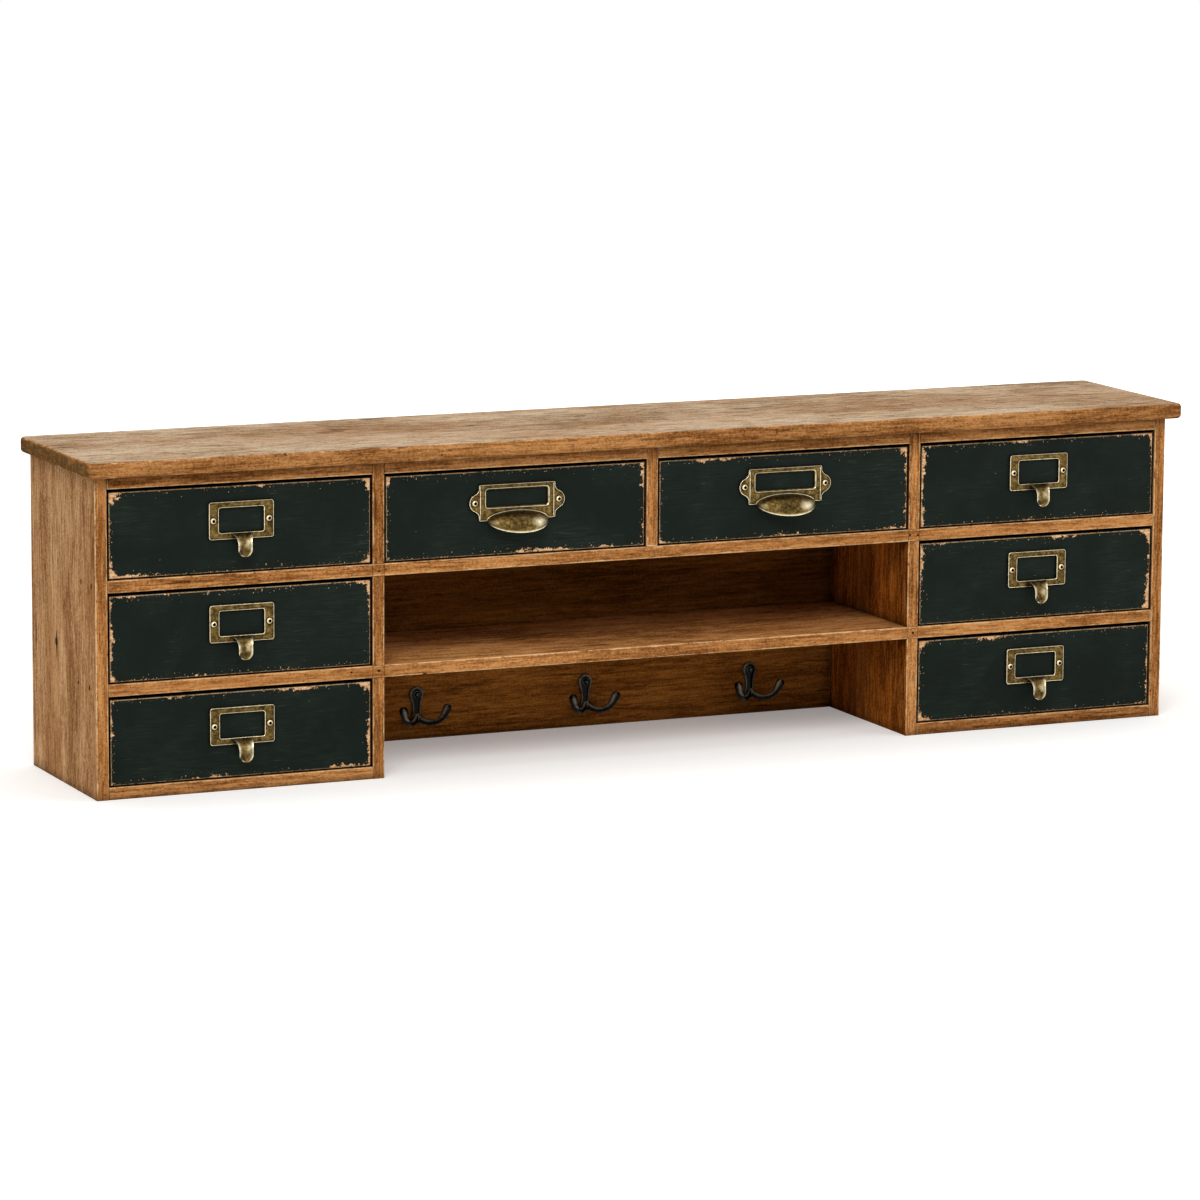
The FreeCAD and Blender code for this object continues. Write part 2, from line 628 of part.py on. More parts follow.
def make_walls(label, wide):
    half = f"({wide} / 2 - sizes.front_gap_side)"
    long = f"({DRAWER_LONG} - sizes.front_thick)"
    high = f"({WALL_TOP} - sizes.run_gap)"
    inside = f"({half} - sizes.wall_thick)"
    groove_half = f"({inside} + sizes.groove_deep + sizes.groove_gap)"
    pieces = []
    for sign in SIDES.values():
        low_x = f"-{half}" if sign < 0 else inside
        side = make_box("drawer_side", (low_x, "sizes.front_thick", "sizes.run_gap"),
                        ("sizes.wall_thick", long, high))
        groove = make_box(
            "groove", (f"-{groove_half}", "sizes.front_thick", f"{PANEL_Z} - sizes.groove_gap"),
            (f"2 * {groove_half}", long, "sizes.panel_thick + 2 * sizes.groove_gap"))
        grooved = doc.addObject("Part::Cut", "grooved_side")
        grooved.Base = side
        grooved.Tool = groove
        pieces.append(grooved)
    back_z = f"({PANEL_Z} + sizes.panel_thick)"
    pieces.append(make_box(
        "drawer_back", (f"-{inside}", f"{DRAWER_LONG} - sizes.wall_thick", back_z),
        (f"2 * {inside}", "sizes.wall_thick", f"{WALL_TOP} - {back_z}")))
    walls = doc.addObject("Part::Compound", label)
    walls.Links = pieces
    return keep(walls, label)


def make_panel(label, wide):
    half = f"({wide} / 2 - sizes.front_gap_side - sizes.wall_thick + sizes.groove_deep)"
    front = "(sizes.front_thick - sizes.groove_deep)"
    panel = doc.addObject("Part::Box", label)
    panel.setExpression("Length", f"2 * {half}")
    panel.setExpression("Width", f"{DRAWER_LONG} - {front}")
    panel.setExpression("Height", "sizes.panel_thick")
    return keep(panel, label), half, front


def make_drawer(name, wide, middle, floor_z, kind):
    pull = PULLS[kind]
    plate_top = f"({FRONT_TOP} - {pull['drop']})"
    screw_z = f"({plate_top} - {pull['high']} / 2)"
    front = make_front(f"{name}_front", wide, pull["screw_half"], screw_z)
    put(front, middle, DRAWER_Y, floor_z)
    put(make_walls(f"{name}_walls", wide), middle, DRAWER_Y, floor_z)
    panel, half, inset = make_panel(f"{name}_bottom", wide)
    put(panel, f"{middle} - {half}", f"{DRAWER_Y} + {inset}", f"{floor_z} + {PANEL_Z}")
    handle = doc.addObject("Part::Feature", f"{name}_pull")
    handle.Shape = pull["shape"]
    put(keep(handle, f"{name}_pull"), middle, DRAWER_Y, f"{floor_z} + {plate_top}")
    screws = doc.addObject("Part::Feature", f"{name}_screws")
    span = value(pull["screw_half"])
    pair = [PULL_SCREW.translated(Vec(sign * span, 0, 0)) for sign in SIDES.values()]
    screws.Shape = Part.Compound(pair)
    put(keep(screws, f"{name}_screws"), middle, f"{DRAWER_Y} - sizes.plate_thick",
        f"{floor_z} + {screw_z}")


PULL_SCREW = screw_shape("sizes.screw_head", "sizes.screw_dome",
                         "sizes.screw_shank", "sizes.screw_long")
PULLS = {
    "tab": {"shape": tab_pull(), "drop": "sizes.tab_drop", "high": "sizes.tab_high",
            "screw_half": "(sizes.tab_screw_span / 2)"},
    "cup": {"shape": cup_pull(), "drop": "sizes.cup_drop", "high": "sizes.cup_plate_high",
            "screw_half": "(sizes.cup_screw_span / 2)"},
}

make_top_board()
make_side_panels()
make_uprights()
make_centre_divider()
make_shelves()
make_bottom_boards()
make_top_rails()
make_back_boards()
make_hooks()
for side_name, side_sign in SIDES.items():
    for level, floor in FLOOR_Z.items():
        make_drawer(f"drawer_{side_name}_{level}", BANK_WIDE, f"{side_sign} * {BANK_MIDDLE}",
                    floor, "tab")
    make_drawer(f"drawer_centre_{side_name}", CENTRE_WIDE, f"{side_sign} * {CENTRE_MIDDLE}",
                UPPER_FLOOR_Z, "cup")

doc.recompute()

for item in doc.Objects:
    if "Invalid" in item.State or "Error" in item.State:
        raise RuntimeError(f"{item.Label} did not build: {item.State}")
for piece in subparts:
    if piece.Shape.isNull() or not piece.Shape.isValid():
        raise RuntimeError(f"{piece.Label} has no valid shape")

os.makedirs("parts", exist_ok=True)
for piece in subparts:
    piece.Shape.exportStep(f"parts/{piece.Label}.step")
print(len(subparts), "sub-parts written")
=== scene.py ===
import bpy
import json
import math
from mathutils import Euler, Matrix, Vector

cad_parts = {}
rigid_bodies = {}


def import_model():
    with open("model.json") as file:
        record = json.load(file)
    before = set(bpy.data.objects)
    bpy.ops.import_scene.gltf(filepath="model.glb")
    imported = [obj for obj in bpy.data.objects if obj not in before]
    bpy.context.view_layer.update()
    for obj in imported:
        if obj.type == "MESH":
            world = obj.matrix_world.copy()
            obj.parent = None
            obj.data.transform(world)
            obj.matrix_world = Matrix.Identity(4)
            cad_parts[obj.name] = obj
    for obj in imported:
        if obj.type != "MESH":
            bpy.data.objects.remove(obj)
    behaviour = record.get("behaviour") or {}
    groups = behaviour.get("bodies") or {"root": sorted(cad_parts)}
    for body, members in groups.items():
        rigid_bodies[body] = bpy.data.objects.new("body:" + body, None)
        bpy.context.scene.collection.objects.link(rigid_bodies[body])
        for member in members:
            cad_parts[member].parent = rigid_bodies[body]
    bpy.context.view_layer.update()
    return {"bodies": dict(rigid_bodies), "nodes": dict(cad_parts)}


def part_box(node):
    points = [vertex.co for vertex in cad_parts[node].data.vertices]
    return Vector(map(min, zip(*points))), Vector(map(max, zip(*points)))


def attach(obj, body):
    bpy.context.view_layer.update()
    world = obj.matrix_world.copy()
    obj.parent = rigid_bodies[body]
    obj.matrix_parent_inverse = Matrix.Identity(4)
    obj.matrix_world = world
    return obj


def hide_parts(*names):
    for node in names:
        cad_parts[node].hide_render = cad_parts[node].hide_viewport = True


# The looks of a low desk cabinet of waxed pine: painted drawer fronts chipped at their edges,
# antique brass card pulls, and black iron hooks. All is in metres, in the frame of the model.

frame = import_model()

MM = 0.001
NODES = frame["nodes"]
BODIES = frame["bodies"]
DRAWERS = sorted(name for name in BODIES if name.startswith("drawer_"))
UP = Vector((0, 0, 1))
RIGHT = Vector((1, 0, 0))
FORWARD = Vector((0, -1, 0))

# Driving sizes of the pieces that are modelled here, in millimetres, and their angles
PLATE_THICK = 1.4
RIM_HIGH = 0.7
RIM_WIDE = 1.1
TAB_PLATE = (57.0, 31.6, 2.2)
TAB_WINDOW = (39.5, 20.7, 1.7)
TAB_WINDOW_DOWN = 5.3
TAB_SCREW_HALF = 24.5
SHADOW_RADIUS = 3.2
TONGUE_ROOT = 9.8
TONGUE_TIP = 6.1
TONGUE_OUT = 9.9
TONGUE_LOW = 13.9
TONGUE_LAP = 5.1
TONGUE_THICK = 1.2
TONGUE_CROWN = 1.1
TONGUE_TAPER = 0.56
CUP_PLATE = (70.0, 31.0, 1.6)
CUP_WINDOW = (56.0, 14.6, 1.8)
CUP_WINDOW_DOWN = 4.7
CUP_SCREW_HALF = 38.4
EAR_TIP = 43.7
EAR_RADIUS = 8.0
EAR_ROOT = 11.6
EAR_POINTS = 16
CUP_HALF = 27.7
CUP_RISE = 8.5
CUP_FALL = 8.9
CUP_OUT = 17.3
CUP_THICK = 1.2
CUP_SLOPE = 0.7
SEAM_RADIUS = 0.55
SEAM_LIFT = 0.3
BAR_INSET = 1.4
BAR_HALF = 14.0
BAR_TIP = 0.4
BAR_RADIUS = 0.45
HOOK_HIGH = 33.5
HOOK_HEAD = 6.4
HOOK_WAIST = 3.6
HOOK_FOOT = 5.2
HOOK_WAIST_SHARE = 0.42
HOOK_SHOULDER = 2.5
HOOK_FOOT_ROUND = 2.5
ARM_BEND = 15.6
ARM_UP = 18.4
ARM_RADIUS = 2.5
ARM_SPREAD = math.radians(44)
ARM_START = math.radians(-140)
ARM_END = math.radians(-25)
BUD_RADIUS = 3.8
BUD_LONG = 9.3
BUD_WIDEST = 0.62
CORNER_STEPS = 6
SMOOTH_ANGLE = math.radians(40)
# The side that the painted highlight stripes on the hook arms face
HIGHLIGHT_SIDE = Vector((-0.30, -0.62, 0.72)).normalized()


def tone(red, green, blue):
    """A colour given as display values from 0 to 255, as the shaders want it."""
    steps = [part / 255 for part in (red, green, blue)]
    linear = [p / 12.92 if p <= 0.04045 else ((p + 0.055) / 1.055) ** 2.4 for p in steps]
    return (*linear, 1.0)


# Small steps that materials are made of


def add(tree, kind, given=None, **settings):
    made = tree.nodes.new("ShaderNode" + kind)
    for key, setting in settings.items():
        setattr(made, key, setting)
    for socket, source in (given or {}).items():
        if isinstance(source, bpy.types.NodeSocket):
            tree.links.new(source, made.inputs[socket])
        else:
            made.inputs[socket].default_value = source
    return made


def calc(tree, operation, first, second=0.0, clamp=False):
    given = {0: first, 1: second}
    return add(tree, "Math", given, operation=operation, use_clamp=clamp).outputs[0]


def spread(tree, source, low, high, bottom=0.0, top=1.0):
    given = {"Value": source, "From Min": low, "From Max": high, "To Min": bottom, "To Max": top}
    return add(tree, "MapRange", given, interpolation_type="SMOOTHSTEP").outputs[0]


def noise(tree, vector, scale, detail, rough=0.55, warp=0.0):
    given = {"Vector": vector, "Scale": scale, "Detail": detail, "Roughness": rough,
             "Distortion": warp}
    return add(tree, "TexNoise", given).outputs[0]


def mix(tree, amount, under, over):
    return add(tree, "Mix", {0: amount, 6: under, 7: over}, data_type="RGBA").outputs[2]


def ramp(tree, source, stops):
    stops = list(stops)
    made = add(tree, "ValToRGB", {0: source})
    line = made.color_ramp
    while len(line.elements) < len(stops):
        line.elements.new(0.5)
    for element, (position, colour) in zip(line.elements, stops):
        element.position = position
        element.color = colour
    return made.outputs[0]


def position(tree, shift=(0, 0, 0), stretch=(1, 1, 1)):
    here = add(tree, "TexCoord").outputs["Object"]
    given = {"Vector": here, "Location": shift, "Scale": stretch}
    return add(tree, "Mapping", given).outputs[0]


def bump(tree, height, strength, distance):
    given = {"Height": height, "Strength": strength, "Distance": distance}
    return add(tree, "Bump", given).outputs[0]


def outer_edge_mask(tree, radius):
    """From 0 on a flat face to 1 on an outer edge."""
    soft = add(tree, "Bevel", {"Radius": radius}, samples=6).outputs[0]
    sharp = add(tree, "NewGeometry").outputs["True Normal"]
    same = add(tree, "VectorMath", {0: soft, 1: sharp}, operation="DOT_PRODUCT").outputs[1]
    return spread(tree, same, 0.995, 0.80)


def arris_gap(tree, here, low, high):
    """How far a place is from the nearest edge of a box, over its faces."""
    parts = add(tree, "SeparateXYZ", {0: here})
    gaps = []
    for axis in range(3):
        centre = (low[axis] + high[axis]) / 2
        off = calc(tree, "ABSOLUTE", calc(tree, "SUBTRACT", parts.outputs[axis], centre))
        gaps.append(calc(tree, "SUBTRACT", (high[axis] - low[axis]) / 2, off))
    lesser = calc(tree, "MINIMUM", gaps[0], gaps[1])
    greater = calc(tree, "MAXIMUM", gaps[0], gaps[1])
    return calc(tree, "MAXIMUM", lesser, calc(tree, "MINIMUM", greater, gaps[2]))


def sheltered(tree, distance):
    """From 0 in the open to 1 deep in a corner."""
    open_share = add(tree, "AmbientOcclusion", {"Distance": distance}, samples=4).outputs["AO"]
    return calc(tree, "SUBTRACT", 1.0, open_share)


def spot(tree, here, ragged, centre, radii):
    """1 within an ellipsoid about a place, with a ragged border."""
    off = add(tree, "VectorMath", {0: here, 1: centre}, operation="SUBTRACT").outputs[0]
    off = add(tree, "VectorMath", {0: off, 1: radii}, operation="DIVIDE").outputs[0]
    far = add(tree, "VectorMath", {0: off}, operation="LENGTH").outputs[1]
    return spread(tree, calc(tree, "ADD", far, ragged), 1.52, 1.32)


def new_material(name):
    made = bpy.data.materials.new(name)
    made.use_nodes = True
    tree = made.node_tree
    return made, tree, tree.nodes["Principled BSDF"]


def wire(tree, shader, **sources):
    for name, source in sources.items():
        socket = shader.inputs[name.replace("_", " ")]
        if isinstance(source, bpy.types.NodeSocket):
            tree.links.new(source, socket)
        else:
            socket.default_value = source


# Wood: light, middle and dark tones of each kind of board

EDGE_TONES = (tone(212, 151, 92), tone(168, 111, 60), tone(110, 65, 29))
SIDE_TONES = (tone(226, 182, 134), tone(190, 142, 97), tone(140, 95, 59))
# The top board's face tones are greyed by a painted sheen of its wax
TOP_TONES_AND_SHEEN = (tone(202, 181, 154), tone(174, 149, 121), tone(130, 102, 75))
TOP_EDGE_TONES = (tone(192, 136, 82), tone(150, 99, 53), tone(98, 58, 26))
SHELF_TONES = (tone(214, 158, 98), tone(172, 117, 65), tone(108, 67, 31))
BAY_TONES = (tone(194, 116, 44), tone(138, 76, 22), tone(70, 34, 6))
BACK_TONES = (tone(190, 124, 56), tone(150, 94, 38), tone(96, 55, 17))
END_GRAIN = tone(104, 78, 46)
INSIDE_TONES = (tone(222, 190, 148), tone(200, 162, 116), tone(160, 118, 74))
# Dirt for dark marks and joints, and painted shade for corners and joints
DIRT_AND_SHADE = tone(34, 18, 7)
RUSSET = tone(150, 82, 36)
# Worn wood along the edges, also standing for a painted highlight on the arrises
PINE_WORN_AND_HIGHLIT = tone(236, 194, 142)
PINE_WORN_AND_HIGHLIT_SHARE = 0.74
# Painted shade on the back boards inside the cubby
CUBBY_SHADE = tone(30, 10, 1)
ACROSS = {"x": 0, "z": 2}
PITH_OFF = 0.07
RING_SCALE = 40.0


def along_grain(grain, share):
    """The stretch of a pattern that is drawn out along the grain, and wider over a board's face."""
    return (share, 0.35, 1) if grain == "x" else (1, 0.80, share)


def pine(name, box, grain, face_tones, front_tones, seed, wear_and_painted_light=1.0, marks=(), seams=()):
    """Waxed pine, worn lighter along the edges of its box and painted with a highlight there, with dark
    marks and joints and painted shade in its corners.
    """
    made, tree, shader = new_material(name)
    here = position(tree)
    shift = (seed * 0.37, seed * 0.011 + PITH_OFF, seed * 0.23 + PITH_OFF)
    if grain == "z":
        shift = (seed * 0.011 + PITH_OFF, PITH_OFF, seed * 0.37)
    plain = position(tree, shift)
    along = position(tree, shift, along_grain(grain, 0.07))
    longer = position(tree, shift, along_grain(grain, 0.28))
    drift = add(tree, "TexNoise", {"Vector": along, "Scale": 13.0, "Detail": 3.0}).outputs["Color"]
    drift = add(tree, "VectorMath", {0: drift, 1: (0.5, 0.5, 0.5)}, operation="SUBTRACT").outputs[0]
    drift = add(tree, "VectorMath", {0: drift, "Scale": 0.03}, operation="SCALE").outputs[0]
    bent = add(tree, "VectorMath", {0: along, 1: drift}, operation="ADD").outputs[0]
    rings = add(tree, "TexWave", {"Vector": bent, "Scale": RING_SCALE, "Distortion": 2.0,
                                  "Detail": 3.0, "Detail Scale": 1.5},
                wave_type="RINGS", rings_direction=grain.upper(), wave_profile="SAW").outputs["Fac"]
    fibres = spread(tree, noise(tree, along, 520.0, 4.0, 0.80), 0.38, 0.62)
    streaks = spread(tree, noise(tree, bent, 66.0, 5.0, 0.66, 0.4), 0.34, 0.66)
    clouds = spread(tree, noise(tree, longer, 28.0, 4.0, 0.6), 0.32, 0.68)
    specks = spread(tree, noise(tree, plain, 460.0, 4.0, 0.8), 0.38, 0.62)
    shade = 0.0
    weights = ((fibres, 0.26), (streaks, 0.18), (clouds, 0.24), (rings, 0.10), (specks, 0.22))
    for pattern, weight in weights:
        shade = calc(tree, "ADD", calc(tree, "MULTIPLY", pattern, weight), shade)
    colours = []
    for light, middle, dark in (front_tones, face_tones):
        colours.append(ramp(tree, shade, [(0.24, dark), (0.50, middle), (0.76, light)]))
    normal = add(tree, "SeparateXYZ", {0: add(tree, "NewGeometry").outputs["True Normal"]})
    flat = normal.outputs[2]
    if grain == "z":
        flat = calc(tree, "ABSOLUTE", normal.outputs[0])
    colour = mix(tree, spread(tree, flat, 0.80, 0.95), *colours)
    warm = spread(tree, noise(tree, bent, 34.0, 2.0, 0.5, 0.6), 0.46, 0.66, 0.0, 0.28)
    colour = mix(tree, warm, colour, front_tones[1])
    russet = spread(tree, noise(tree, longer, 80.0, 3.0, 0.6), 0.56, 0.72, 0.0, 0.22)
    colour = mix(tree, russet, colour, RUSSET)
    ends = spread(tree, calc(tree, "ABSOLUTE", normal.outputs[ACROSS[grain]]), 0.6, 0.9)
    blotch = spread(tree, noise(tree, plain, 130.0, 5.0, 0.8), 0.40, 0.54, 0.40, 1.0)
    colour = mix(tree, calc(tree, "MULTIPLY", ends, blotch), colour, END_GRAIN)
    drawn = noise(tree, position(tree, shift, along_grain(grain, 0.05)), 400.0, 3.0, 0.65)
    colour = mix(tree, spread(tree, drawn, 0.57, 0.63, 0.0, 0.42), colour, front_tones[2])
    colour = mix(tree, spread(tree, drawn, 0.42, 0.36, 0.0, 0.30), colour, front_tones[0])
    short = position(tree, shift, along_grain(grain, 0.16))
    pores = spread(tree, noise(tree, short, 520.0, 2.0, 0.6), 0.62, 0.67)
    checks = spread(tree, noise(tree, along, 240.0, 2.0, 0.5), 0.68, 0.72)
    dents = spread(tree, noise(tree, plain, 360.0, 2.0, 0.55), 0.69, 0.72)
    dark = calc(tree, "MAXIMUM", calc(tree, "MULTIPLY", pores, 0.42), calc(tree, "MULTIPLY", checks, 0.60))
    dark = calc(tree, "MAXIMUM", dark, calc(tree, "MULTIPLY", dents, 0.55 * wear_and_painted_light))
    ragged = calc(tree, "MULTIPLY", noise(tree, here, 800.0, 2.0), 0.7) if marks else None
    for centre, radii, strength in marks:
        stain = calc(tree, "MULTIPLY", spot(tree, here, ragged, centre, radii), strength)
        dark = calc(tree, "MAXIMUM", dark, stain)
    places = add(tree, "SeparateXYZ", {0: here})
    for axis, level in seams:
        off = calc(tree, "ABSOLUTE", calc(tree, "SUBTRACT", places.outputs[axis], level))
        dark = calc(tree, "MAXIMUM", dark, spread(tree, off, 0.6 * MM, 0.2 * MM, 0.0, 0.5))
    # Edges worn lighter, also painted with a highlight along the arrises
    uneven = noise(tree, plain, 90.0, 5.0, 0.7)
    gap = calc(tree, "ADD", arris_gap(tree, here, *box), calc(tree, "MULTIPLY", uneven, 4.0 * MM))
    worn_and_highlit = spread(tree, gap, 3.2 * MM, 2.3 * MM)
    # How closed in a place is: it keeps the painted highlight off edges in corners and sets the painted
    # shade below
    closed = sheltered(tree, 12 * MM)
    reached = calc(tree, "SUBTRACT", 1.0, calc(tree, "MULTIPLY", closed, 2.4), True)
    worn_and_highlit = calc(tree, "MULTIPLY", worn_and_highlit, reached)
    colour = mix(tree, calc(tree, "MULTIPLY", worn_and_highlit, PINE_WORN_AND_HIGHLIT_SHARE * wear_and_painted_light), colour, PINE_WORN_AND_HIGHLIT)
    colour = mix(tree, dark, colour, DIRT_AND_SHADE)
    # Painted shade: the bay side of the back boards darker above the lower shelf, where the cubby is
    # shaded
    if face_tones is BACK_TONES:
        faces_bay = spread(tree, normal.outputs[1], -0.5, -0.9)
        cubby_shade = spread(tree, places.outputs[2], 88 * MM, 112 * MM, 0.0, 0.62)
        colour = mix(tree, calc(tree, "MULTIPLY", faces_bay, cubby_shade), colour, CUBBY_SHADE)
        faces_wall = spread(tree, normal.outputs[1], 0.5, 0.9, 0.0, 0.5)
        colour = mix(tree, faces_wall, colour, SIDE_TONES[1])
    # Painted shade: darker in corners, joints and recesses, where shade falls
    deep = spread(tree, closed, 0.30, 0.52, 0.0, 0.35)
    corner_shade = calc(tree, "ADD", calc(tree, "MULTIPLY", closed, 0.7), deep)
    colour = mix(tree, calc(tree, "MULTIPLY", corner_shade, wear_and_painted_light, True), colour, DIRT_AND_SHADE)
    relief = calc(tree, "ADD", calc(tree, "MULTIPLY", fibres, 0.4), calc(tree, "MULTIPLY", streaks, 0.6))
    relief = calc(tree, "SUBTRACT", relief, calc(tree, "MULTIPLY", dark, 1.5))
    wire(tree, shader, Base_Color=colour, Roughness=spread(tree, streaks, 0.2, 0.8, 0.48, 0.66),
         Normal=bump(tree, relief, 0.4, 0.35 * MM))
    shader.inputs["Specular IOR Level"].default_value = 0.0
    return made


# Paint: nearly black green, chipped to the wood along the edges and most at the corners

PAINT = tone(19, 26, 21)
PAINT_WORN = tone(44, 54, 46)
PAINT_SCUFF = tone(104, 104, 84)
BARE_WOOD = (tone(248, 212, 168), tone(212, 162, 114), tone(134, 88, 52))
BARE_ARRIS = tone(190, 160, 122)
# Painted shade on the paint: at the front's edges, round chips and in the gaps
PAINT_SHADE = tone(9, 11, 8)
PAINT_DEEP_SHADE = tone(3, 4, 3)

# How far the chips reach in from an edge, in millimetres: least and most
CHIP_REACH = (-2.3, 2.4)
CORNER_REACH = (2.5, 11.0)
CHIP_END_MORE = 1.4
CHIP_JAG = 13.0
CHIP_FLAKE = 12.0
ARRIS_WIDE = (1.35, 0.9)
ARRIS_SHADE = (0.55, 0.35)


def painted(name, low, high, seed):
    """Paint on a front that fills the box, most worn where the noise and an edge come together."""
    made, tree, shader = new_material(name)
    middle = (low + high) / 2
    half = (high - low) / 2
    parts = add(tree, "SeparateXYZ", {0: position(tree)})
    gaps = []
    for axis, centre, reach in ((0, middle.x, half.x), (2, middle.z, half.z)):
        off = calc(tree, "ABSOLUTE", calc(tree, "SUBTRACT", parts.outputs[axis], centre))
        gaps.append(calc(tree, "SUBTRACT", reach, off))
    nearest = calc(tree, "MINIMUM", *gaps)
    corner = calc(tree, "ADD", *gaps)
    shifted = position(tree, (seed * 1.7, seed * 0.9, seed * 2.3))
    runs = noise(tree, shifted, 17.0, 2.0, 0.5)
    ragged = noise(tree, shifted, 310.0, 4.0, 0.8)
    flakes = noise(tree, shifted, 130.0, 4.0, 0.7)
    reach = spread(tree, runs, 0.45, 0.68, CHIP_REACH[0] * MM, CHIP_REACH[1] * MM)
    to_side = calc(tree, "MINIMUM", calc(tree, "SUBTRACT", gaps[0], CHIP_END_MORE * MM), gaps[1])
    large = noise(tree, shifted, 11.0, 1.0, 0.5)
    wedge = spread(tree, large, 0.40, 0.64, CORNER_REACH[0] * MM, CORNER_REACH[1] * MM)
    wedge = calc(tree, "MULTIPLY", calc(tree, "SUBTRACT", corner, wedge), 0.55)
    jag = calc(tree, "MULTIPLY", calc(tree, "SUBTRACT", ragged, 0.5), CHIP_JAG * MM)
    flaky = calc(tree, "MULTIPLY", calc(tree, "SUBTRACT", flakes, 0.5), CHIP_FLAKE * MM)
    intact = calc(tree, "MINIMUM", calc(tree, "SUBTRACT", to_side, reach), wedge)
    intact = calc(tree, "ADD", intact, calc(tree, "ADD", jag, flaky))
    chipped = spread(tree, intact, 0.14 * MM, -0.06 * MM)
    rarer = spread(tree, nearest, 1 * MM, 12 * MM, 0.665, 0.785)
    dots = noise(tree, shifted, 560.0, 2.0, 0.5)
    dots = spread(tree, calc(tree, "SUBTRACT", dots, rarer), 0.0, 0.012)
    chipped = calc(tree, "MAXIMUM", chipped, dots)
    along = position(tree, (seed, seed, seed), (0.06, 1, 1))
    brushed = spread(tree, noise(tree, along, 900.0, 4.0, 0.75), 0.34, 0.66)
    faded = spread(tree, noise(tree, shifted, 16.0, 5.0, 0.65), 0.38, 0.70)
    worn = calc(tree, "MULTIPLY", faded, brushed)
    paint = mix(tree, calc(tree, "MULTIPLY", worn, 0.50), PAINT, PAINT_WORN)
    scuffs = spread(tree, noise(tree, along, 900.0, 2.0, 0.5), 0.70, 0.78, 0.0, 0.35)
    paint = mix(tree, calc(tree, "MULTIPLY", scuffs, faded), paint, PAINT_SCUFF)
    arris = spread(tree, nearest, ARRIS_WIDE[0] * MM, ARRIS_WIDE[1] * MM)
    arris = calc(tree, "MULTIPLY", arris, spread(tree, ragged, 0.38, 0.52, 0.15, 0.95))
    paint = mix(tree, arris, paint, BARE_ARRIS)
    # Painted shadow along the border of each chip, as if cast by the paint's thickness
    chip_edge_shadow = spread(tree, intact, 1.1 * MM, 0.4 * MM, 0.0, 0.85)
    paint = mix(tree, chip_edge_shadow, paint, PAINT_SHADE)
    grain = noise(tree, position(tree, (seed, 0, seed), (0.25, 1, 1)), 520.0, 5.0, 0.8)
    light, middle_tone, dark = BARE_WOOD
    bare = ramp(tree, grain, [(0.34, dark), (0.48, middle_tone), (0.62, light)])
    colour = mix(tree, chipped, paint, bare)
    # Painted shade on the outermost edge of the front, widening the dark gap round the drawer
    rim = spread(tree, nearest, ARRIS_SHADE[0] * MM, ARRIS_SHADE[1] * MM, 0.0, 0.9)
    colour = mix(tree, rim, colour, PAINT_SHADE)
    # Painted shade: near black in the gaps round the front and round its pull
    under = calc(tree, "MULTIPLY", sheltered(tree, 5 * MM), 1.5, True)
    wire(tree, shader, Base_Color=mix(tree, under, colour, PAINT_DEEP_SHADE),
         Roughness=calc(tree, "ADD", calc(tree, "MULTIPLY", chipped, 0.16),
                        spread(tree, brushed, 0.0, 1.0, 0.44, 0.60)))
    level = calc(tree, "SUBTRACT", calc(tree, "MULTIPLY", brushed, 0.20), chipped)
    wire(tree, shader, Normal=bump(tree, level, 0.8, 0.4 * MM))
    shader.inputs["Specular IOR Level"].default_value = 0.06
    return made


# Metals

BRASS_FIELD = (tone(50, 38, 18), tone(97, 77, 41), tone(136, 112, 63))
BRASS_GRAIN = tone(58, 46, 22)
BRASS_BLACK = tone(16, 11, 4)
BRASS_BRIGHT = tone(244, 230, 190)
BRASS_SHADE = tone(20, 14, 5)
SCREW_LIGHT = tone(255, 238, 194)
SCREW_STAIN = tone(226, 196, 138)
SCREW_SHADE = tone(14, 9, 4)
IRON = (tone(2, 3, 2), tone(6, 7, 6), tone(18, 20, 17))
# Iron worn grey, standing also for painted highlights
IRON_WORN_AND_HIGHLIT = tone(172, 172, 158)


def antique_brass(name):
    """Brass gone brown: bright where the piece's own wear_and_light value is high, for worn rims and
    painted highlights; black where it is below 0, for painted shadow, dark reflections and patina.
    """
    made, tree, shader = new_material(name)
    here = position(tree)
    mottle = noise(tree, here, 330.0, 5.0, 0.7)
    grainy = noise(tree, here, 1500.0, 2.0, 0.6)
    raw = add(tree, "Attribute", attribute_name="wear_and_light").outputs["Fac"]
    uneven = spread(tree, mottle, 0.34, 0.56, 0.6, 1.0)
    wear_and_light = calc(tree, "MAXIMUM", calc(tree, "MULTIPLY", raw, uneven), 0.0)
    field = ramp(tree, mottle, zip((0.36, 0.50, 0.64), BRASS_FIELD))
    field = mix(tree, spread(tree, grainy, 0.45, 0.7, 0.0, 0.5), field, BRASS_GRAIN)
    field = mix(tree, spread(tree, raw, 0.0, -1.0), field, BRASS_BLACK)
    colour = mix(tree, wear_and_light, field, BRASS_BRIGHT)
    # Painted shade in the hollows and round the screw heads
    under = calc(tree, "MULTIPLY", sheltered(tree, 3 * MM), 1.7, True)
    wire(tree, shader, Base_Color=mix(tree, under, colour, BRASS_SHADE), Metallic=1.0,
         Roughness=spread(tree, wear_and_light, 0.0, 1.0, 0.46, 0.30),
         Normal=bump(tree, calc(tree, "ADD", mottle, grainy), 0.25, 0.2 * MM))
    return made


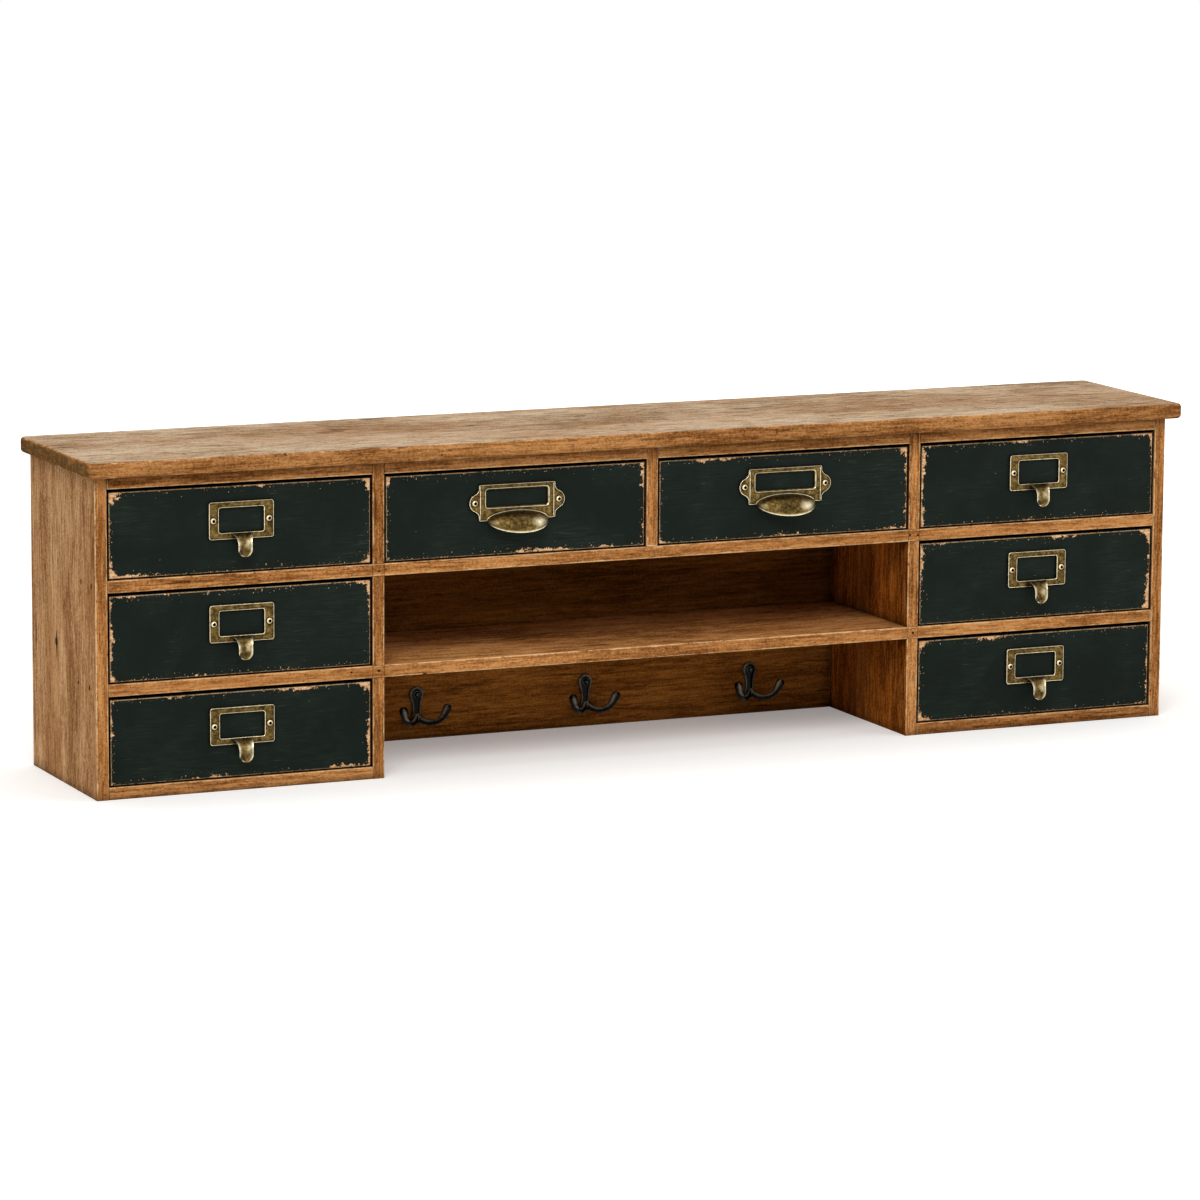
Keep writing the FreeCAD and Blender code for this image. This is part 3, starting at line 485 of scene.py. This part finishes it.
def screw_brass(name, centres, head):
    """Bright heads, with painted shade in the recess and at the rim of each head."""
    made, tree, shader = new_material(name)
    here = position(tree)
    nearest = None
    for centre in centres:
        off = add(tree, "VectorMath", {0: here, 1: centre}, operation="SUBTRACT").outputs[0]
        off = add(tree, "VectorMath", {0: off, 1: (1, 0, 1)}, operation="MULTIPLY").outputs[0]
        far = add(tree, "VectorMath", {0: off}, operation="LENGTH").outputs[1]
        nearest = calc(tree, "MINIMUM", nearest, far) if nearest else far
    stain = noise(tree, here, 900.0, 3.0, 0.6)
    bright = mix(tree, spread(tree, stain, 0.4, 0.7), SCREW_LIGHT, SCREW_STAIN)
    # Painted shade in the recess and at the head's rim
    recess = spread(tree, nearest, 1.55 * MM, 1.30 * MM)
    rim = spread(tree, nearest, head - 0.30 * MM, head, 0.0, 0.7)
    dark = calc(tree, "MAXIMUM", recess, rim)
    wire(tree, shader, Base_Color=mix(tree, dark, bright, SCREW_SHADE),
         Metallic=spread(tree, dark, 0.0, 0.5, 0.55, 0.0),
         Roughness=spread(tree, dark, 0.0, 0.5, 0.34, 0.9),
         Specular_IOR_Level=spread(tree, dark, 0.0, 0.5, 0.5, 0.0))
    return made


def black_iron(name):
    """Blackened cast iron, worn grey and painted with highlights on outer edges and where the piece's own
    wear_and_light value is high.
    """
    made, tree, shader = new_material(name)
    here = position(tree)
    cast = noise(tree, here, 900.0, 3.0, 0.6)
    dust = noise(tree, here, 150.0, 4.0, 0.65)
    colour = ramp(tree, dust, zip((0.38, 0.54, 0.70), IRON))
    own = add(tree, "Attribute", attribute_name="wear_and_light").outputs["Fac"]
    # Outer edges worn grey and painted with highlights, with the piece's own painted highlight stripes
    worn_and_highlit = calc(tree, "MAXIMUM", outer_edge_mask(tree, 1.0 * MM), own)
    worn_and_highlit = calc(tree, "MULTIPLY", worn_and_highlit, spread(tree, dust, 0.36, 0.56, 0.35, 1.0))
    wire(tree, shader, Base_Color=mix(tree, worn_and_highlit, colour, IRON_WORN_AND_HIGHLIT),
         Roughness=spread(tree, dust, 0.3, 0.7, 0.14, 0.26), Normal=bump(tree, cast, 0.15, 0.2 * MM))
    shader.inputs["Specular IOR Level"].default_value = 0.10
    return made


# Pieces made from a grid whose points are placed column by column


def finish_mesh():
    bpy.ops.object.mode_set(mode="EDIT")
    bpy.ops.mesh.select_all(action="SELECT")
    bpy.ops.mesh.remove_doubles(threshold=1e-6)
    bpy.ops.mesh.fill_holes(sides=0)
    bpy.ops.mesh.normals_make_consistent(inside=False)
    bpy.ops.object.mode_set(mode="OBJECT")
    bpy.ops.object.shade_smooth_by_angle(angle=SMOOTH_ANGLE)


def skin(name, columns, wear_and_light):
    """A surface through columns of points, in millimetres, with one wear_and_light value a column or a
    point: worn places and painted highlights above 0, painted shade, dark reflections and patina below.
    """
    across = len(columns) - 1
    along = len(columns[0]) - 1
    bpy.ops.object.select_all(action="DESELECT")
    bpy.ops.mesh.primitive_grid_add(x_subdivisions=across, y_subdivisions=along, size=1)
    piece = bpy.context.object
    piece.name = name
    piece.data.name = name
    shine = piece.data.attributes.new("wear_and_light", "FLOAT", "POINT")
    for vertex in piece.data.vertices:
        column = round((vertex.co.x + 0.5) * across)
        row = round((vertex.co.y + 0.5) * along)
        vertex.co = Vector(columns[column][row]) * MM
        level = wear_and_light[column]
        shine.data[vertex.index].value = level[row] if isinstance(level, list) else level
    finish_mesh()
    return piece


def join(name, pieces):
    bpy.ops.object.select_all(action="DESELECT")
    for piece in pieces:
        piece.select_set(True)
    bpy.context.view_layer.objects.active = pieces[0]
    bpy.ops.object.join()
    whole = bpy.context.object
    whole.name = name
    whole.data.name = name
    return whole


def copy_to(master, name, place):
    twin = master.copy()
    twin.data = master.data.copy()
    twin.name = name
    twin.data.name = name
    twin.data.transform(Matrix.Translation(place))
    bpy.context.scene.collection.objects.link(twin)
    return twin


# Card pulls: a plate with raised rims round its outline and its window


def arc(centre, radius, start, end, steps):
    """Points along an arc; angles in degrees."""
    points = []
    for step in range(steps + 1):
        angle = math.radians(start + (end - start) * step / steps)
        points.append((centre[0] + radius * math.cos(angle), centre[1] + radius * math.sin(angle)))
    return points


def framed(wide, high, corner, right_end):
    """An upright rectangle with round corners, clockwise from the top; right_end runs downwards."""
    across = wide / 2 - corner
    up = high / 2 - corner
    upper = arc((across, up), corner, 90, 0, CORNER_STEPS)
    half = upper + right_end + arc((across, -up), corner, 0, -90, CORNER_STEPS)
    return half + [(-x, -z) for x, z in half]


def straight_end(wide, high, corner):
    """As many points down a straight end as an ear has."""
    up = high / 2 - corner
    count = len(ear_points())
    return [(wide / 2, up - 2 * up * (step + 0.5) / count) for step in range(count)]


def ear_points():
    """A wide round ear that leaves the plate in two hollow curves."""
    centre = EAR_TIP - EAR_RADIUS
    neck_x = centre + EAR_RADIUS * math.cos(math.radians(60))
    neck_z = EAR_RADIUS * math.sin(math.radians(60))
    plate = CUP_PLATE[0] / 2
    hollow = []
    for step in range(EAR_POINTS // 2):
        share = step / (EAR_POINTS // 2)
        bow = 4 * share * (1 - share) * 0.75
        x = plate + (neck_x - plate) * share - bow
        z = EAR_ROOT + (neck_z - EAR_ROOT) * share - bow * 0.55
        hollow.append((max(x, plate - 0.1 + 0.3 * share), z))
    tip = arc((centre, 0), EAR_RADIUS, 60, -60, EAR_POINTS)
    return hollow + tip + [(x, -z) for x, z in reversed(hollow)]


def shrink(points, gap):
    """The outline moved inwards by a gap."""
    count = len(points)
    moved = []
    for index in range(count):
        before = Vector(points[index - 1])
        here = Vector(points[index])
        after = Vector(points[(index + 1) % count])
        inward = Vector((0, 0))
        for line in (here - before, after - here):
            if line.length > 1e-6:
                inward += Vector((-line.y, line.x)).normalized() * -1
        moved.append(here + (inward.normalized() * gap if inward.length > 1e-6 else inward))
    return moved


def card_plate(name, outline, window, centre_z, slope=0.0):
    """Rings run from the back edge over both rims, down a slope and into the window."""
    top = PLATE_THICK + RIM_HIGH
    face = PLATE_THICK
    outer_rim = [(0.0, 0.0, 0.0), (0.0, face + 0.1, 0.4), (0.12, top - 0.2, 0.9),
                 (0.36, top, 1.0), (0.62, top - 0.1, 0.7), (RIM_WIDE - 0.25, face + 0.1, 0.0),
                 (RIM_WIDE, face, -0.3), (RIM_WIDE + 0.5, face, 0.0)]
    inner_rim = [(slope + RIM_WIDE + 0.6, face, 0.0), (slope + RIM_WIDE, face, -0.3),
                 (slope + RIM_WIDE - 0.2, face + 0.1, 0.0), (slope + 0.7, top - 0.1, 0.6),
                 (slope + 0.42, top, 1.0), (slope + 0.15, top - 0.2, 0.8),
                 (slope * 0.8, face + 0.1, 0.0), (0.0, face - 0.3, 0.0), (0.0, 0.0, 0.0)]
    rings = []
    wear_and_light = []
    for gap, level, shine in outer_rim:
        rings.append([(x, -level, z) for x, z in shrink(outline, gap)])
        wear_and_light.append(shine)
    for gap, level, shine in inner_rim:
        rings.append([(x, -level, z + centre_z) for x, z in shrink(window, -gap)])
        wear_and_light.append(shine)
    rings.append(list(rings[0]))
    wear_and_light.append(0.0)
    for ring in rings:
        ring.append(ring[0])
    return skin(name, rings, wear_and_light)


def tab_plate():
    centre = TAB_PLATE[1] / 2 - TAB_WINDOW_DOWN - TAB_WINDOW[1] / 2
    return card_plate("plate", framed(*TAB_PLATE, []), framed(*TAB_WINDOW, []), centre)


def cup_plate():
    centre = CUP_PLATE[1] / 2 - CUP_WINDOW_DOWN - CUP_WINDOW[1] / 2
    window = framed(*CUP_WINDOW, straight_end(*CUP_WINDOW))
    return card_plate("plate", framed(*CUP_PLATE, ear_points()), window, centre, CUP_SLOPE)


def screw_shadow(across):
    """The dark line round a screw's head."""
    rings = []
    for radius, level in ((0.0, -0.5), (SHADOW_RADIUS, -0.5), (SHADOW_RADIUS, 0.06), (0.0, 0.08)):
        ring = arc((across, 0.0), radius, 0, 360, 32)
        rings.append([(x, -PLATE_THICK - level, z) for x, z in ring])
    return skin("screw_shadow", rings, [-1.0] * 4)


def tab_tongue():
    """A finger tab that curls out and down, wide at its root, with raised rims."""
    bend = TONGUE_OUT
    top = -TAB_PLATE[1] / 2 + TONGUE_LAP
    low = -TAB_PLATE[1] / 2 - TONGUE_LOW
    quarter = bend * math.pi / 2
    straight = (top - bend) - low
    length = quarter + straight

    def spine(run):
        if run < quarter:
            angle = run / bend
            out = -PLATE_THICK - bend * math.sin(angle)
            place = Vector((0, out, top - bend * (1 - math.cos(angle))))
            return place, Vector((0, -math.sin(angle), math.cos(angle)))
        return Vector((0, -PLATE_THICK - bend, top - bend - (run - quarter))), Vector((0, -1, 0))

    def half_width(run):
        waist = max(0.0, 1 - run / length / TONGUE_TAPER)
        half = TONGUE_TIP + (TONGUE_ROOT - TONGUE_TIP) * waist ** 1.5
        left = length - run
        if left < TONGUE_TIP:
            half = min(half, math.sqrt(max(0.0, TONGUE_TIP ** 2 - (TONGUE_TIP - left) ** 2)))
        return half

    rows = 22
    columns = []
    wear_and_light = []
    for index in range(13):
        side = math.sin(math.pi / 2 * (-1 + index / 6))
        rim = abs(side) ** 5
        outer = []
        inner = []
        shine = []
        for row in range(rows + 1):
            run = length * math.sin(math.pi / 2 * row / rows)
            place, normal = spine(run)
            ends = min(1.0, (run + 1.5) / 6) * min(1.0, (length - run) / 4)
            crown = -TONGUE_CROWN * (1 - side ** 2) * ends
            face = place + normal * crown + RIGHT * (half_width(run) * side)
            outer.append(face)
            inner.append(face - normal * TONGUE_THICK * (1 - 0.5 * rim))
            share = run / length
            # A painted highlight on the right of the tab's middle
            glow = 0.55 * math.exp(-((share - 0.58) / 0.12) ** 2 - ((side - 0.45) / 0.30) ** 2)
            # A dark spot near the tip, and a painted dark reflection of the drawer front over the root
            dirt_and_shade = -0.5 * math.exp(-((share - 0.84) / 0.07) ** 2 - (side / 0.6) ** 2)
            dirt_and_shade -= 0.6 * max(0.0, 1 - share / 0.25)
            shine.append(max(rim * min(1.0, 0.45 + 2 * share), glow) + dirt_and_shade * (1 - rim))
        columns.append(outer + inner[::-1] + [outer[0]])
        wear_and_light.append(shine + [0.1] * len(inner) + [shine[0]])
    return skin("tongue", columns, wear_and_light)


def cup_bowl():
    """A shell like a quarter of a melon, open below, with a rounded lip."""
    base = -CUP_PLATE[1] / 2
    rows = 20

    def section(half, rise, fall, out, side):
        round_off = math.cos(side * math.pi / 2)
        across = half * math.sin(side * math.pi / 2)
        points = []
        for row in range(rows + 1):
            turn = math.pi / 2 * row / rows
            up = (rise + fall * 0.9) * math.cos(turn) ** 0.92 - fall
            forward = out * math.sin(turn) ** 0.86
            points.append(Vector((across, -PLATE_THICK - forward * round_off, base + up * round_off)))
        return points

    columns = []
    wear_and_light = []
    for index in range(41):
        side = -1 + index / 20
        outer = section(CUP_HALF, CUP_RISE, CUP_FALL, CUP_OUT, side)
        inner = section(CUP_HALF - CUP_THICK, CUP_RISE - CUP_THICK, CUP_FALL,
                        CUP_OUT - CUP_THICK, side)
        columns.append(outer + inner[::-1] + [outer[0]])
        # Painted reflections: a small one at the left and a larger one right of the middle
        glow = 0.22 * math.exp(-((side + 0.64) / 0.16) ** 2)
        glow += 0.95 * math.exp(-((side - 0.42) / 0.22) ** 2)
        # Patina and painted shade darken the middle of the bowl
        dirt_and_shade = -0.42 * math.exp(-((side + 0.12) / 0.36) ** 2)
        shine = [dirt_and_shade + glow * math.exp(-((row / rows - 0.68) / 0.20) ** 2) for row in range(rows + 1)]
        shine[0] = -0.8
        shine[-2] = 0.1
        shine[-1] = 1.0
        wear_and_light.append(shine + [0.1] * (rows + 1) + [shine[0]])
    return skin("bowl", columns, wear_and_light)


def tube(name, path, radii, around, wear_and_light=None):
    """A round tube through points, with a radius at each, with a painted highlight stripe on its upper
    front if wear_and_light is None.
    """
    columns = []
    shine = []
    for index, point in enumerate(path):
        before = path[max(index - 1, 0)]
        after = path[min(index + 1, len(path) - 1)]
        ahead = (after - before).normalized()
        side = ahead.cross(UP if abs(ahead.dot(UP)) < 0.98 else FORWARD).normalized()
        over = side.cross(ahead)
        ring = []
        for step in range(around + 1):
            angle = 2 * math.pi * step / around
            ring.append(point + (side * math.cos(angle) + over * math.sin(angle)) * radii[index])
        ring[-1] = ring[0]
        columns.append(ring)
        # A painted highlight stripe along the side facing the light
        lit = (HIGHLIGHT_SIDE - ahead * HIGHLIGHT_SIDE.dot(ahead)).normalized()
        turned = [(place - point).normalized().dot(lit) for place in ring]
        shine.append([0.9 * math.exp((facing - 1) / 0.07) for facing in turned])
    return skin(name, columns, wear_and_light or shine)


def seam_bead():
    """The raised line where the bowl meets its plate."""
    base = -CUP_PLATE[1] / 2
    path = []
    for step in range(33):
        side = -1 + step / 16
        up = (CUP_RISE + SEAM_LIFT - CUP_FALL * 0.1) * math.cos(side * math.pi / 2)
        path.append(Vector((CUP_HALF * math.sin(side * math.pi / 2), -PLATE_THICK - 0.1, base + up)))
    return tube("seam", path, [SEAM_RADIUS] * len(path), 8, [0.9] * len(path))


def plate_bars():
    """The two upright lines that part the ears from the plate."""
    made = []
    for sign in (-1, 1):
        across = sign * (CUP_PLATE[0] / 2 - BAR_INSET)
        tip = BAR_HALF + BAR_TIP
        path = [Vector((across, -PLATE_THICK, z)) for z in (-tip, -BAR_HALF, 0.0, BAR_HALF, tip)]
        radii = [0.05, BAR_RADIUS, BAR_RADIUS, BAR_RADIUS, 0.05]
        made.append(tube("bar", path, radii, 8, [0.8] * len(path)))
    return made


# Hooks: a cast plate and two tapered arms with knobs


def hook_outline():
    """Half widths of the plate at each height, then the closed outline."""
    right = []
    count = 48
    waist = HOOK_HIGH * HOOK_WAIST_SHARE
    head = HOOK_HIGH - HOOK_HEAD
    shoulder = head - HOOK_SHOULDER
    for step in range(count + 1):
        share = step / count
        up = HOOK_HIGH * (1 - math.cos(math.pi * share)) / 2
        if up > shoulder:
            off = min(1.0, abs(up - head) / HOOK_HEAD)
            half = HOOK_HEAD * math.sqrt(max(0.0, 1 - off ** 2))
        else:
            flare = (HOOK_FOOT - HOOK_WAIST) * max(0.0, (waist - up) / waist) ** 1.6
            rise = max(0.0, (up - waist) / (shoulder - waist)) ** 1.9
            half = HOOK_WAIST + flare + (HOOK_HEAD * 0.93 - HOOK_WAIST) * rise
        if up < HOOK_FOOT_ROUND:
            half *= math.sqrt(max(0.0, 1 - (1 - up / HOOK_FOOT_ROUND) ** 2))
        right.append((half, up))
    left = [(-x, z) for x, z in reversed(right[1:-1])]
    return right + left


def hook_plate():
    outline = hook_outline()
    rings = []
    # A painted highlight along the plate's raised border
    wear_and_light = [0.0, 0.0, 0.1, 0.75, 0.35, 0.0, 0.0, 0.0, 0.0]
    for inward, level in ((1.0, 0.0), (0.0, 0.0), (0.0, 1.3), (0.08, 2.1), (0.20, 2.4), (0.30, 2.4),
                          (0.42, 2.8), (0.65, 3.1), (1.0, 3.2)):
        ring = []
        for x, z in outline:
            spine = min(max(z, 4.0), HOOK_HIGH - HOOK_HEAD)
            ring.append((x * (1 - inward), -level, z + (spine - z) * inward))
        ring.append(ring[0])
        rings.append(ring)
    return skin("hook_plate", rings, wear_and_light)


def hook_arm(sign):
    """An arc that leaves the plate's foot outwards and forwards, and a bud at its end."""
    outward = Vector((sign * math.cos(ARM_SPREAD), -math.sin(ARM_SPREAD), 0))
    root = Vector((0, -ARM_RADIUS, 0))
    centre = root - outward * (ARM_BEND * math.cos(ARM_START)) + UP * ARM_UP
    path = []
    radii = []
    steps = 30
    for step in range(steps + 1):
        share = step / steps
        angle = ARM_START + (ARM_END - ARM_START) * share
        path.append(centre + outward * (ARM_BEND * math.cos(angle)) + UP * (ARM_BEND * math.sin(angle)))
        radii.append(ARM_RADIUS * (1.12 - 0.30 * share) + 1.1 * max(0.0, 2 * share - 1) ** 1.5)
    ahead = UP * math.cos(ARM_END) - outward * math.sin(ARM_END)
    foot = path[-1]
    bud_steps = 14
    for step in range(1, bud_steps + 1):
        share = math.sin(math.pi / 2 * step / bud_steps)
        swell = min(1.0, share / BUD_WIDEST)
        half = radii[steps] + (BUD_RADIUS - radii[steps]) * math.sin(math.pi / 2 * swell)
        if share > BUD_WIDEST:
            beyond = (share - BUD_WIDEST) / (1 - BUD_WIDEST)
            half = BUD_RADIUS * math.sqrt(max(0.0, 1 - beyond ** 2))
        path.append(foot + ahead * (BUD_LONG * share))
        radii.append(max(0.02, half))
    return tube("hook_arm", path, radii, 32)


# The finished pieces


def stand_for(piece, node, body, material):
    piece.data.materials.clear()
    piece.data.materials.append(material)
    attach(piece, body)
    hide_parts(node)


def dress_pulls(brass):
    tab_rings = [screw_shadow(sign * TAB_SCREW_HALF) for sign in (-1, 1)]
    cup_rings = [screw_shadow(sign * CUP_SCREW_HALF) for sign in (-1, 1)]
    tab = join("tab_pull", [tab_plate(), tab_tongue()] + tab_rings)
    cup = join("cup_pull", [cup_plate(), cup_bowl(), seam_bead()] + plate_bars() + cup_rings)
    for body in DRAWERS:
        node = f"{body}_pull"
        low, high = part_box(node)
        is_cup = "centre" in body
        plate_high = (CUP_PLATE if is_cup else TAB_PLATE)[1] * MM
        place = Vector(((low.x + high.x) / 2, high.y, high.z - plate_high / 2))
        piece = copy_to(cup if is_cup else tab, f"{node}_brass", place)
        stand_for(piece, node, body, brass)
    for master in (tab, cup):
        bpy.data.objects.remove(master)


def dress_hooks(iron):
    hook = join("hook", [hook_plate(), hook_arm(1), hook_arm(-1)])
    for side in ("left", "centre", "right"):
        low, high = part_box(f"hook_{side}")
        place = Vector(((low.x + high.x) / 2, high.y, high.z - HOOK_HIGH * MM))
        piece = copy_to(hook, f"hook_{side}_iron", place)
        stand_for(piece, f"hook_{side}", "case", iron)
    bpy.data.objects.remove(hook)


def paint_node(node, material):
    mesh = NODES[node].data
    mesh.materials.clear()
    mesh.materials.append(material)


def mark(x, y, z, wide, deep, high, strength=0.94):
    """A dark place: its centre and its half sizes, in millimetres, and how dark it is."""
    return Vector((x, y, z)) * MM, Vector((wide, deep, high)) * MM, strength


KNOT_SIDE = [mark(-500, 27.5, 116.9, 4, 2.9, 3.6), mark(-500, 27.3, 116.9, 4, 1.0, 9.5),
             mark(-500, -28.7, 91.6, 3, 1.5, 1.3), mark(-500, -57.3, 92.1, 3, 1.5, 2.4),
             mark(-500, -37.8, 177.7, 3, 1.2, 2.6), mark(-500, -63.4, 177.4, 3, 1.3, 2.2)]
CHECKS_TOP = [mark(131.2, 25.3, 282.6, 15, 1.5, 4), mark(155.1, 26.6, 282.6, 8, 1.1, 4),
              mark(-20.7, 32.4, 282.6, 6, 1.6, 4), mark(-268.8, -62.3, 282.6, 2, 1.6, 4, 0.7),
              mark(-338.9, -88, 281.5, 1.3, 4, 0.9, 0.8), mark(-246.3, -88, 279.5, 2.6, 4, 0.5, 0.6),
              mark(-199.7, -88, 273.9, 0.9, 4, 1.0, 0.7), mark(-282.2, -88, 274.4, 2.4, 4, 0.4, 0.5),
              mark(-174.3, -88, 274.9, 2.6, 4, 0.4, 0.5), mark(110.4, -88, 277.4, 0.6, 4, 2.2, 0.7),
              mark(119.7, -88, 278.6, 3.5, 4, 0.6, 0.6)]
NAILS_LOWER = [mark(-250.7, -74, 92.1, 1.4, 3, 1.0), mark(-275.3, -74, 92.4, 0.8, 3, 0.8),
               mark(-209.1, -74, 86.8, 2.0, 3, 0.6), mark(251.5, -74, 91.2, 1.1, 3, 1.1)]
NAILS_UPPER = [mark(-250.3, -74, 176.5, 0.9, 3, 0.9), mark(247.1, -74, 178.1, 1.0, 3, 1.0),
               mark(254.9, -74, 177.7, 1.0, 3, 1.0)]
SEAM_PLACES = (489.5, 256.2, 245.7)
SEAMS = [(0, sign * place * MM) for sign in (-1, 1) for place in SEAM_PLACES]

# Each board of the case: its grain, the tones of its broad face and of its front, and its marks
BOARDS = {
    "top_board": ("x", TOP_TONES_AND_SHEEN, TOP_EDGE_TONES, CHECKS_TOP),
    "upper_shelf": ("x", SHELF_TONES, EDGE_TONES, NAILS_UPPER),
    "lower_shelf": ("x", SHELF_TONES, EDGE_TONES, NAILS_LOWER),
    "bottom_board_left": ("x", SHELF_TONES, EDGE_TONES, ()),
    "bottom_board_right": ("x", SHELF_TONES, EDGE_TONES, ()),
    "top_rails": ("x", SHELF_TONES, EDGE_TONES, ()),
    "side_panel_left": ("z", SIDE_TONES, EDGE_TONES, KNOT_SIDE),
    "side_panel_right": ("z", SIDE_TONES, EDGE_TONES, ()),
    "upright_left": ("z", BAY_TONES, EDGE_TONES, ()),
    "upright_right": ("z", BAY_TONES, EDGE_TONES, ()),
    "centre_divider": ("z", SHELF_TONES, EDGE_TONES, ()),
    "back_board_left": ("x", BACK_TONES, BACK_TONES, ()),
    "back_board_centre": ("x", BACK_TONES, BACK_TONES, ()),
    "back_board_right": ("x", BACK_TONES, BACK_TONES, ()),
}


def dress_case():
    for seed, (node, (grain, faces, front, marks)) in enumerate(BOARDS.items(), start=1):
        seams = SEAMS if grain == "x" and front is EDGE_TONES else ()
        wood = pine(f"pine_{node}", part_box(node), grain, faces, front, seed, marks=marks, seams=seams)
        paint_node(node, wood)


def dress_drawers():
    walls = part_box(f"{DRAWERS[0]}_walls")
    inside = pine("pine_drawer_walls", walls, "x", INSIDE_TONES, INSIDE_TONES, 31, 0.4)
    for seed, body in enumerate(DRAWERS, start=1):
        front = f"{body}_front"
        paint_node(front, painted(f"paint_{front}", *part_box(front), seed))
        paint_node(f"{body}_walls", inside)
        paint_node(f"{body}_bottom", inside)
        screws = f"{body}_screws"
        low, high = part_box(screws)
        head = (high.z - low.z) / 2
        level = (high.z + low.z) / 2
        centres = [Vector((x, 0, level)) for x in (low.x + head, high.x - head)]
        paint_node(screws, screw_brass(f"brass_{screws}", centres, head))


# Camera, floor and light

CAMERA_PLACE = Vector((-1.9445, -4.3192, 0.9214))
CAMERA_YAW = math.radians(-24.0688)
CAMERA_DOWN = math.radians(9.5476)
CAMERA_ROLL = math.radians(0.3305)
CAMERA_LENS = 166.234
CAMERA_SENSOR = 36
FLOOR_SIDE = 14
FLOOR_SEEN = tone(241, 241, 239)
FLOOR_LIT = tone(224, 224, 222)


def set_camera():
    data = bpy.data.cameras.new("camera")
    data.lens = CAMERA_LENS
    data.sensor_width = CAMERA_SENSOR
    camera = bpy.data.objects.new("camera", data)
    yaw = Euler((0, 0, CAMERA_YAW)).to_matrix()
    tilt = Euler((math.pi / 2 - CAMERA_DOWN, 0, 0)).to_matrix()
    turn = yaw @ tilt @ Euler((0, 0, CAMERA_ROLL)).to_matrix()
    camera.matrix_world = Matrix.Translation(CAMERA_PLACE) @ turn.to_4x4()
    bpy.context.scene.collection.objects.link(camera)
    bpy.context.scene.camera = camera


def seen_white(tree):
    """1 for rays from the camera, from gloss and from glass, so that they meet a white room."""
    path = add(tree, "LightPath")
    seen = calc(tree, "MAXIMUM", path.outputs["Is Camera Ray"], path.outputs["Is Glossy Ray"])
    return calc(tree, "MAXIMUM", seen, path.outputs["Is Transmission Ray"])


def set_room():
    bpy.ops.object.select_all(action="DESELECT")
    bpy.ops.mesh.primitive_plane_add(size=FLOOR_SIDE)
    floor = bpy.context.object
    floor.name = "floor"
    made, tree, shader = new_material("floor_white")
    wire(tree, shader, Base_Color=mix(tree, seen_white(tree), FLOOR_LIT, FLOOR_SEEN))
    shader.inputs["Roughness"].default_value = 0.9
    shader.inputs["Specular IOR Level"].default_value = 0.0
    shader.inputs["Emission Color"].default_value = (1, 1, 1, 1)
    far = add(tree, "VectorMath", {0: position(tree)}, operation="LENGTH").outputs[1]
    glow = spread(tree, far, 0.6, 2.2, 0.23, 1.0)
    wire(tree, shader, Emission_Strength=calc(tree, "MULTIPLY", seen_white(tree), glow))
    floor.data.materials.append(made)
    world = bpy.data.worlds.new("room")
    bpy.context.scene.world = world
    world.use_nodes = True
    tree = world.node_tree
    sky = tree.nodes["Background"]
    sky.inputs["Color"].default_value = (1, 1, 1, 1)
    tree.links.new(calc(tree, "MAXIMUM", seen_white(tree), 0.52), sky.inputs["Strength"])


def add_lamp(name, place, aim, size, power):
    data = bpy.data.lights.new(name, "AREA")
    data.shape = "RECTANGLE"
    data.size, data.size_y = size
    data.energy = power
    lamp = bpy.data.objects.new(name, data)
    lamp.location = place
    lamp.rotation_euler = (Vector(aim) - Vector(place)).to_track_quat("-Z", "Y").to_euler()
    bpy.context.scene.collection.objects.link(lamp)


def set_lamps():
    middle = (0, 0, 0.15)
    add_lamp("key", (-1.2, -2.4, 2.6), middle, (2.0, 1.6), 62)
    add_lamp("over", (0.2, 0.3, 2.6), middle, (2.6, 1.6), 26)
    add_lamp("fill", (2.6, -2.2, 1.2), middle, (1.6, 1.6), 14)


set_camera()
set_room()
set_lamps()
dress_case()
dress_drawers()
dress_pulls(antique_brass("brass_pull"))
iron_black = black_iron("iron_black")
dress_hooks(iron_black)
paint_node("hook_screws", iron_black)

bpy.context.scene.view_settings.view_transform = "Standard"
